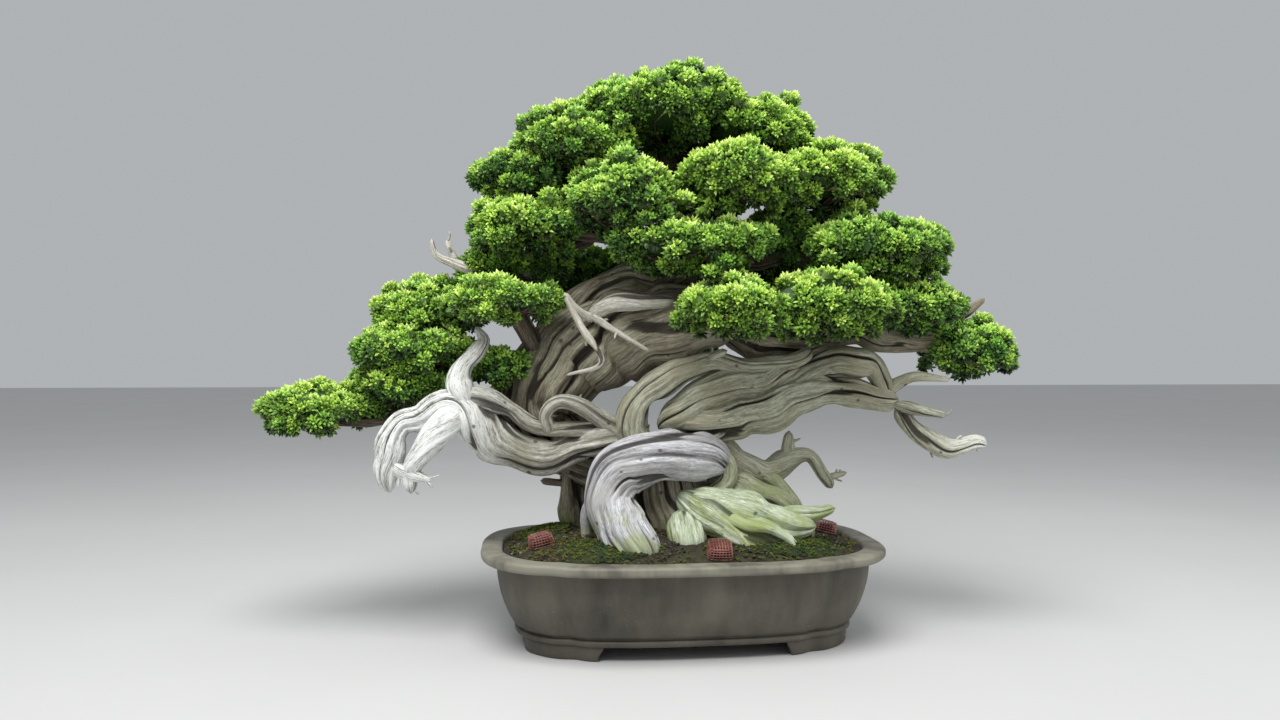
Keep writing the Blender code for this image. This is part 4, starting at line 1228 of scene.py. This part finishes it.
def splinters(routes, count, rng):
    """Short pointed routes, each from inside a strand outwards and a little forwards."""
    found = []
    for _ in range(count):
        route = np.array(routes[rng.integers(len(routes))], float)
        knot = rng.integers(1, len(route))
        share = rng.uniform(0, 1)
        x, y, z, r = route[knot - 1] * (1 - share) + route[knot] * share
        forward = unit(route[knot, :3] - route[knot - 1, :3])
        away, _ = across(forward, np.array(rng.uniform(0, math.tau)))
        lean = unit(away + forward * rng.uniform(0.2, 1.4))
        start, length = np.array([x, y, z]) + away * r * 0.5, rng.uniform(0.006, 0.016) + r * 0.4
        crook = rng.normal(0, 0.0012, 3)
        thick = rng.uniform(0.0020, 0.0036)
        found.append([(*start, thick), (*(start + lean * length * 0.55 + crook), thick * 0.6),
                      (*(start + lean * length), 0.0008)])
    return found


def limb(routes, seed, stubs=0, **style):
    """All strands of one piece, each with its own seed and its own strip of map."""
    every = list(routes) + splinters(routes, stubs, np.random.default_rng(seed))
    made = [strand(route, seed + 17 * number, **style) for number, route in enumerate(every)]
    surfaces = stacked_maps([m[0] for m in made], [m[1] + 0.004 for m in made])
    return together(surfaces)


# %% [markdown]
# Weathered wood is not one colour. Fibres run from nearly white to beige, cracks and
# hollows are painted dark as shade, tips bleach in the sun, and near the soil a green film of algae
# grows.
# One function writes them all from a few colours; the living bark is the same
# idea with browns and deeper cracks.

# %% Finishes of wood


def wood_finish(name, colours, bleach=None, film=0.0, bark=0.0, film_top=0.26):
    """Fibre noise through three colours, then stain, bark, bleaching, green film, and cracks and
    hollows darkened as painted shade.
    """
    dark, mid, light, crack_and_shade, stain = colours.split()
    wood = Finish(name, 0.78)
    spot = wood.place()
    grown = wood.attribute("fibre_place", "Vector")
    hollow = wood.attribute("hollow")
    broad = wood.speckle(grown, 0.8, 2.0)
    streak = wood.speckle(grown, 4.2, 3.0)
    line = wood.speckle(grown, 15.0, 3.0, 0.7)
    patch = wood.speckle(spot, 17.0, 3.0)
    tone = broad * 0.20 + streak * 0.35 + line * 0.45
    toned = wood.ramp(tone, (0.39, dark), (0.50, mid), (0.61, light))
    toned = wood.mix(patch.between(0.44, 0.66) * 0.55, toned, stain)
    if bark:
        strips = broad.between(0.42, 0.54)
        flaky = wood.ramp(streak * 0.5 + line * 0.5, (0.38, "362c24"),
                          (0.50, "6a5e4f"), (0.62, "9e927e"))
        toned = wood.mix(strips * bark, toned, flaky)
    if bleach:
        start, end, pale = bleach
        sun = wood.part(spot, 0).between(min(start, end), max(start, end))
        sun = sun if end > start else 1 - sun
        toned = wood.mix(sun * tone.between(0.38, 0.54) * 0.88, toned, pale)
    wet = wood.speckle(spot, 24.0, 3.0)
    low = 1 - wood.part(spot, 2).between(0.17, film_top)
    toned = wood.mix(low * wet.between(0.44, 0.62) * film, toned, "92a054")
    knots = 1 - wood.cells(spot, 27.0).between(0.05, 0.11)
    toned = wood.mix(knots * 0.7, toned, crack_and_shade)
    # Painted shade: cracks and hollows darkened towards the crack colour.
    toned = wood.mix(hollow.between(0.10, 0.60) * 0.90, toned, crack_and_shade)
    high = line * 0.40 + streak * 0.60 - hollow * 0.5 - knots * 0.8
    return wood.done(toned, high, 0.0026, 0.7)


WOOD_ROWS = {  # dark, mid, light, crack and painted shade, and stain; bleaching; green film; bark; the film's top
    "bleached_arm": ("6a6556 9c9a8d d0cfc4 28241d 88846e", (-0.17, -0.29, "f4f6f4"), 0.2),
    "lilac_root": ("6e6c6e b2b1b4 dedfe2 3a3631 acaaa4", None, 0.6, 0.0, 0.21),
    "driftwood": ("6c6a56 9e9f89 cacab6 28251c 948c72", (0.38, 0.54, "eceee6"), 0.35),
    "pale_root": ("68704e aeb898 e2eadc 2e321c bec8b0", None, 0.75, 0.0, 0.24),
    "mossy_root": ("62624a 989a7e ccd0b8 2a2a1a 8a9268", None, 0.7, 0.0, 0.25),
    "silver_jin": ("888274 bcb8ac e4e2d8 3c342c a8a08c",),
    "trunk_bark": ("6c6854 9a9780 cccab6 2c261c 6e624c", (-0.02, 0.1, "b2ad96"), 0.5, 0.75, 0.19),
    "limb_bark": ("706955 a09982 ccc5af 28221a 7e705a", None, 0.0, 0.25),
    "dark_bark": ("362e24 54493b 766a57 16120e 42362a", None, 0.0, 0.3),
}
WOOD = {name: wood_finish(name, *row) for name, row in WOOD_ROWS.items()}

# %% Make the wood


def make_limbs(pieces, styles, usual, seed, step):
    """One piece for each set of routes, with its own look, twist and seed."""
    for number, (name, text) in enumerate(pieces.items()):
        look, style = styles.get(name, usual)
        surface = limb(strands_of(text), seed + step * number, **style)
        make_piece(f"{name}_wood", surface, WOOD[look], [name])


LIVING_STYLE = {
    "live_trunk": ("trunk_bark", dict(twist=-3.0, ribs=1.15, lobes=0.24)),
    "leader": ("dark_bark", dict(twist=5.0, ribs=1.1, lobes=0.25, stubs=4)),
    "right_limb": ("limb_bark", dict(twist=5.0, ribs=1.1, lobes=0.30, stubs=6)),
}
DEAD_STYLE = {
    "deadwood_front_root": ("lilac_root", dict(twist=3.0, ribs=0.75, lobes=0.14, wander=0.6)),
    "deadwood_left_arm": ("bleached_arm", dict(twist=5.0, ribs=1.0, lobes=0.50, stubs=12)),
    "deadwood_right_arm": ("driftwood", dict(twist=3.5, ribs=1.35, lobes=0.52, stubs=15)),
    "deadwood_raised_branch": ("driftwood", dict(twist=6.0, ribs=1.1, lobes=0.40, stubs=6)),
    "root_loops_right": ("mossy_root", dict(twist=4.0, ribs=1.2, lobes=0.50, stubs=5)),
    "root_beak": ("pale_root", dict(twist=4.0, ribs=1.0, lobes=0.45, stubs=3)),
    "root_fold": ("pale_root", dict(twist=1.5, ribs=1.0, lobes=0.62, wander=0.7)),
}
USUAL_BRANCH = "dark_bark", dict(twist=4.0, ribs=0.9, stubs=2)
USUAL_JIN = "silver_jin", dict(twist=5.0, ribs=1.1, lobes=0.35, stubs=4)
make_limbs(LIVING, LIVING_STYLE, USUAL_BRANCH, 101, 31)
make_limbs(DEAD, DEAD_STYLE, USUAL_JIN, 701, 37)

# %% [markdown]
# ## Foliage
#
# The grower pinches each pad into a flat-bottomed cloud. Up close a pad is many
# small clumps, like a cauliflower, and each clump is a cluster of sprays with
# lime tips over darker green. So clumps are set over the pad's envelope by the
# golden angle, each clump gets a core painted dark as shade, and sprays are set over
# the clump's outer half, leaning towards the light. The sprays' colour also carries
# painted light: lighter on each clump's crown and facing up, darker at its rim and underneath.

# %% Places of the pads, each with its middle, half sizes and freshness with painted shade in thousandths
# The freshness is partly the leaves' own yellow-green and partly painted shade: pads in the middle
# and at the back get low values, so they are painted darker.
PAD_ROWS = """
    crown_top -18 20 640 150 135 72 550;
    crown_right 112 20 612 98 110 68 650;
    crown_left -150 0 592 100 100 66 500;
    upper_left -232 30 548 100 90 46 500;
    upper_right 205 0 538 108 105 66 700;
    upper_right_front 80 -70 530 92 88 62 750;
    upper_back 0 155 545 135 88 70 450;
    centre_front -85 -70 500 90 88 66 550;
    middle_left -232 0 470 98 98 62 580;
    middle_left_back -262 70 415 98 85 46 480;
    middle_right_front 15 -75 437 132 82 54 520;
    middle_right_back 170 50 460 90 90 62 420;
    middle_right 285 -10 432 125 108 60 520;
    back_left -140 175 412 125 85 65 450;
    back_right 155 165 400 130 90 65 450;
    low_right_front_inner 71 -110 346 90 85 58 750;
    low_right_front 204 -95 348 105 85 62 700;
    low_right 335 0 350 100 88 50 450;
    far_right 435 10 284 78 82 56 400;
    left_front -250 -70 356 85 68 42 700;
    left_near -262 0 262 55 52 40 500;
    left_upper -385 60 345 98 85 56 600;
    left_middle -405 30 285 105 95 52 550;
    left_low -425 45 226 100 92 54 520;
    left_tip -545 -10 198 92 85 50 680;
    back_low -45 140 300 125 88 52 400
"""
PADS = {}
for row in PAD_ROWS.split(";"):
    name, *numbers = row.split()
    numbers = [int(number) / 1000 for number in numbers]
    PADS[f"foliage_{name}"] = tuple(numbers[:3]), tuple(numbers[3:6]), numbers[6]
print(len(PADS), "pads")
UNDERSIDE, LUMP = 0.75, 0.10
CLUMP_SPACING = 0.0285
BRIDGE_CLUMPS = 12

# %% Clumps over a pad


def pad_envelope(directions, centre, half, shrink=0.0):
    """A lumpy dome with a shallow underside, at each direction from its middle."""
    x, y, z = np.moveaxis(directions, -1, 0)
    phase = 40 * centre[0] + 25 * centre[1]
    turn = np.arctan2(y, x)
    wave = np.sin(4 * turn + phase) + np.sin(7 * turn - 2 * phase + 3 * z)
    swell = 1 - LUMP + LUMP / 2 * wave * np.hypot(x, y)
    depth = np.where(z > 0, z, z * UNDERSIDE)
    shape = np.stack([x * (half[0] * swell - shrink), y * (half[1] * swell - shrink),
                      depth * (half[2] * swell - shrink)], -1)
    return np.asarray(centre) + shape


def pad_area(half):
    """Thomsen's area of an ellipsoid, with the mean of its two depths."""
    a, b, c = half[0], half[1], half[2] * (1 + UNDERSIDE) / 2
    power = 1.6
    total = (a * b) ** power + (a * c) ** power + (b * c) ** power
    return 4 * math.pi * (total / 3) ** (1 / power)


def clumps(centre, half, rng):
    """Middles, outward directions and radii of a pad's clumps that no other pad hides.

    Slow noise pushes them in and out by up to 15 mm, so the pad has a ragged outline.
    Some more hang below it, where the pad's own branch carries weak inner shoots, and
    a few fill the notch half way to each neighbour.
    """
    count = int(pad_area(half) / CLUMP_SPACING**2)
    directions = unit(sunflower(count) + rng.normal(0, 0.45 / math.sqrt(count), (count, 3)))
    directions = directions[directions[:, 2] > -0.62]
    radius = rng.uniform(0.0120, 0.0215, len(directions))
    surface = pad_envelope(directions, centre, half)
    outward = unit(directions / np.asarray(half) ** 2 * (1, 1, 0.9))
    push = 0.030 * (noise(*np.moveaxis(surface / 0.042, -1, 0), 81) - 0.5)
    sink = radius * rng.uniform(0.45, 1.10, len(directions)) + 0.005
    middles = surface + outward * (push - sink)[:, None]
    inner = int(count * 0.26)
    turn, share = rng.uniform(0, math.tau, inner), np.sqrt(rng.uniform(0, 0.7, inner))
    drop = -UNDERSIDE * rng.uniform(0.40, 1.00, inner) * np.sqrt(1 - share**2)
    hung = np.asarray(centre) + np.array(half) * np.stack(
        [share * np.cos(turn), share * np.sin(turn), drop], -1)
    middles, outward = [middles, hung], [outward, unit(hung - centre + (0, 0, 0.02))]
    for other, size, _ in PADS.values():
        reach = np.subtract(other, centre) / np.add(half, size)
        if other > centre and (reach**2).sum() < 0.85:
            loose = rng.normal(0, 1, (BRIDGE_CLUMPS, 3)).clip(-1.2, 1.2) * (0.028, 0.028, 0.015)
            middles.append(np.add(other, centre) / 2 + loose + (0, 0, 0.006))
            outward.append(unit(loose + (0, -0.012, 0.030)))
    middles, outward = np.concatenate(middles), np.concatenate(outward)
    radius = np.concatenate([radius, rng.uniform(0.009, 0.015, len(middles) - len(radius))])
    seen = np.ones(len(middles), bool)
    for other, size, _ in PADS.values():
        if other != centre:
            seen &= (((middles - other) / (np.array(size) - 0.012)) ** 2).sum(-1) > 1
    return middles[seen], outward[seen], radius[seen]


# %% Sprays over the clumps
SPRAYS_PER_CLUMP = 13


def pad_foliage(centre, half, freshness_and_shade, rng):
    """Cores and sprays of all clumps of a pad, and a heart that closes it; cores and heart are
    painted dark as the shade inside.
    """
    middles, outward, radius = clumps(centre, half, rng)
    count = len(middles)
    shape = sunflower(int(SPRAYS_PER_CLUMP * 1.75))[:SPRAYS_PER_CLUMP]
    first, second = across(outward, rng.uniform(0, math.tau, count))
    local = (first[:, None] * shape[:, :1] + second[:, None] * shape[:, 1:2]
             + outward[:, None] * shape[:, 2:])
    local = unit(local + rng.normal(0, 0.14, local.shape))
    squash = np.array([1, 1, 0.85])
    roots = middles[:, None] + local * squash * (radius * 0.70)[:, None, None]
    up = np.array([0, 0, 1.0])
    axes = unit(local + up * 0.40 + rng.normal(0, 0.12, local.shape))
    reach = (local * outward[:, None]).sum(-1)
    clump_kind = np.clip(freshness_and_shade + rng.normal(0, 0.16, count), 0.03, 0.97)
    # Painted light: sprays on a clump's crown and facing up are painted lighter, those at its rim,
    # underneath and on hanging clumps darker as painted shade; fresher clumps are also lighter in
    # their own colour.
    light = 0.22 + 0.42 * np.clip(reach, 0, 1) + 0.26 * local[..., 2]
    light = light + rng.normal(0, 0.07, reach.shape)
    light = light + 0.18 * (clump_kind[:, None] - 0.5) + 0.12 * np.clip(outward[:, None, 2], -1, 1)
    light = np.clip(light, 0.08, 0.98)
    total = count * SPRAYS_PER_CLUMP
    kind = np.repeat(clump_kind, SPRAYS_PER_CLUMP) + rng.normal(0, 0.05, total)
    turned = unit(from_tree(axes) - from_tree(axes * 0)).reshape(-1, 3)
    length, width = rng.uniform(0.0085, 0.0130, total), rng.uniform(0.0020, 0.0029, total)
    # Each spray is 0.34 darker at its root than at its tip: paler new tips, and painted shade deep
    # in the clump.
    shades = light.ravel() - 0.34, light.ravel()
    leaf = sprays(from_tree(roots).reshape(-1, 3), turned, length, width, shades, kind, rng)
    # The cores are painted dark, as the shade inside each clump.
    shade_cores = scattered_grains(from_tree(middles), radius * 0.88, np.full(count, 0.14),
                             np.clip(clump_kind, 0.02, 0.96), rng)
    tilt, turn = round_shape(14, 26, 0.08)
    ball = np.stack([np.cos(tilt) * np.cos(turn), np.cos(tilt) * np.sin(turn),
                     np.sin(tilt) + 0 * turn], -1)
    # The heart is painted nearly black-green, as the shade inside the pad.
    shade_heart = skin(from_tree(pad_envelope(ball, centre, half, 0.019)), inwards=True)
    shade_heart["uvs"] = 0.03 + 0.05 * shade_heart["uvs"]
    return together([leaf, shade_cores, shade_heart])


foliage = Finish("scale_leaf", 0.55)
shade, kind = foliage.chart()
deep = foliage.ramp(shade, (0.0, "162a12"), (0.35, "508030"), (0.65, "8ec64e"), (1.0, "c0e878"))
lime = foliage.ramp(shade, (0.0, "20300e"), (0.35, "78a236"), (0.65, "c0e25c"), (1.0, "eafa96"))
leaf_material = foliage.done(foliage.mix(kind.between(0.12, 0.88), deep, lime))

# %% Make the pads
for number, (name, (centre, half, freshness_and_shade)) in enumerate(PADS.items()):
    surface = pad_foliage(centre, half, freshness_and_shade, np.random.default_rng(900 + number))
    make_piece(f"{name}_sprays", surface, leaf_material, [name], smooth=False)

# %% [markdown]
# ## Twigs
#
# Under every pad brown twigs fan out from its branch and hold the clumps up. Each
# is a thin bar on a bent line, from near the pad's middle to its lower rim.

# %% Twigs under the pads


def pad_twigs(centre, half, rng, count=9):
    """Lines from below the pad's middle out to 0.8 of its rim, sagging between."""
    turn = (np.arange(count) + rng.uniform(0, 1)) * math.tau / count
    share = np.linspace(0, 1, 7)
    made = []
    reaches, starts = rng.uniform(0.6, 0.85, count), rng.uniform(0.0, 0.2, count)
    for angle, reach, start in zip(turn, reaches, starts):
        out = start + (reach - start) * share
        x = centre[0] + half[0] * out * np.cos(angle + 0.5 * share)
        y = centre[1] + half[1] * out * np.sin(angle + 0.5 * share)
        depth = UNDERSIDE * (0.70 - 0.35 * share**2) - 0.08 * np.sin(share * 7 + angle)
        line = np.stack([x, y, centre[2] - half[2] * depth], -1)
        made.append(bar(from_tree(line), 0.0019 - 0.0011 * share, 5))
    return made


twig_bars = []
for number, (centre, half, _) in enumerate(PADS.values()):
    twig_bars += pad_twigs(centre, half, np.random.default_rng(1300 + number))
twigs = Finish("twig_bark", 0.8)
tone = twigs.speckle(twigs.place(), 180.0, 3.0)
twig_material = twigs.done(twigs.ramp(tone, (0.35, "30221a"), (0.65, "705844")), tone)
make_piece("pad_twigs", strips(twig_bars), twig_material)
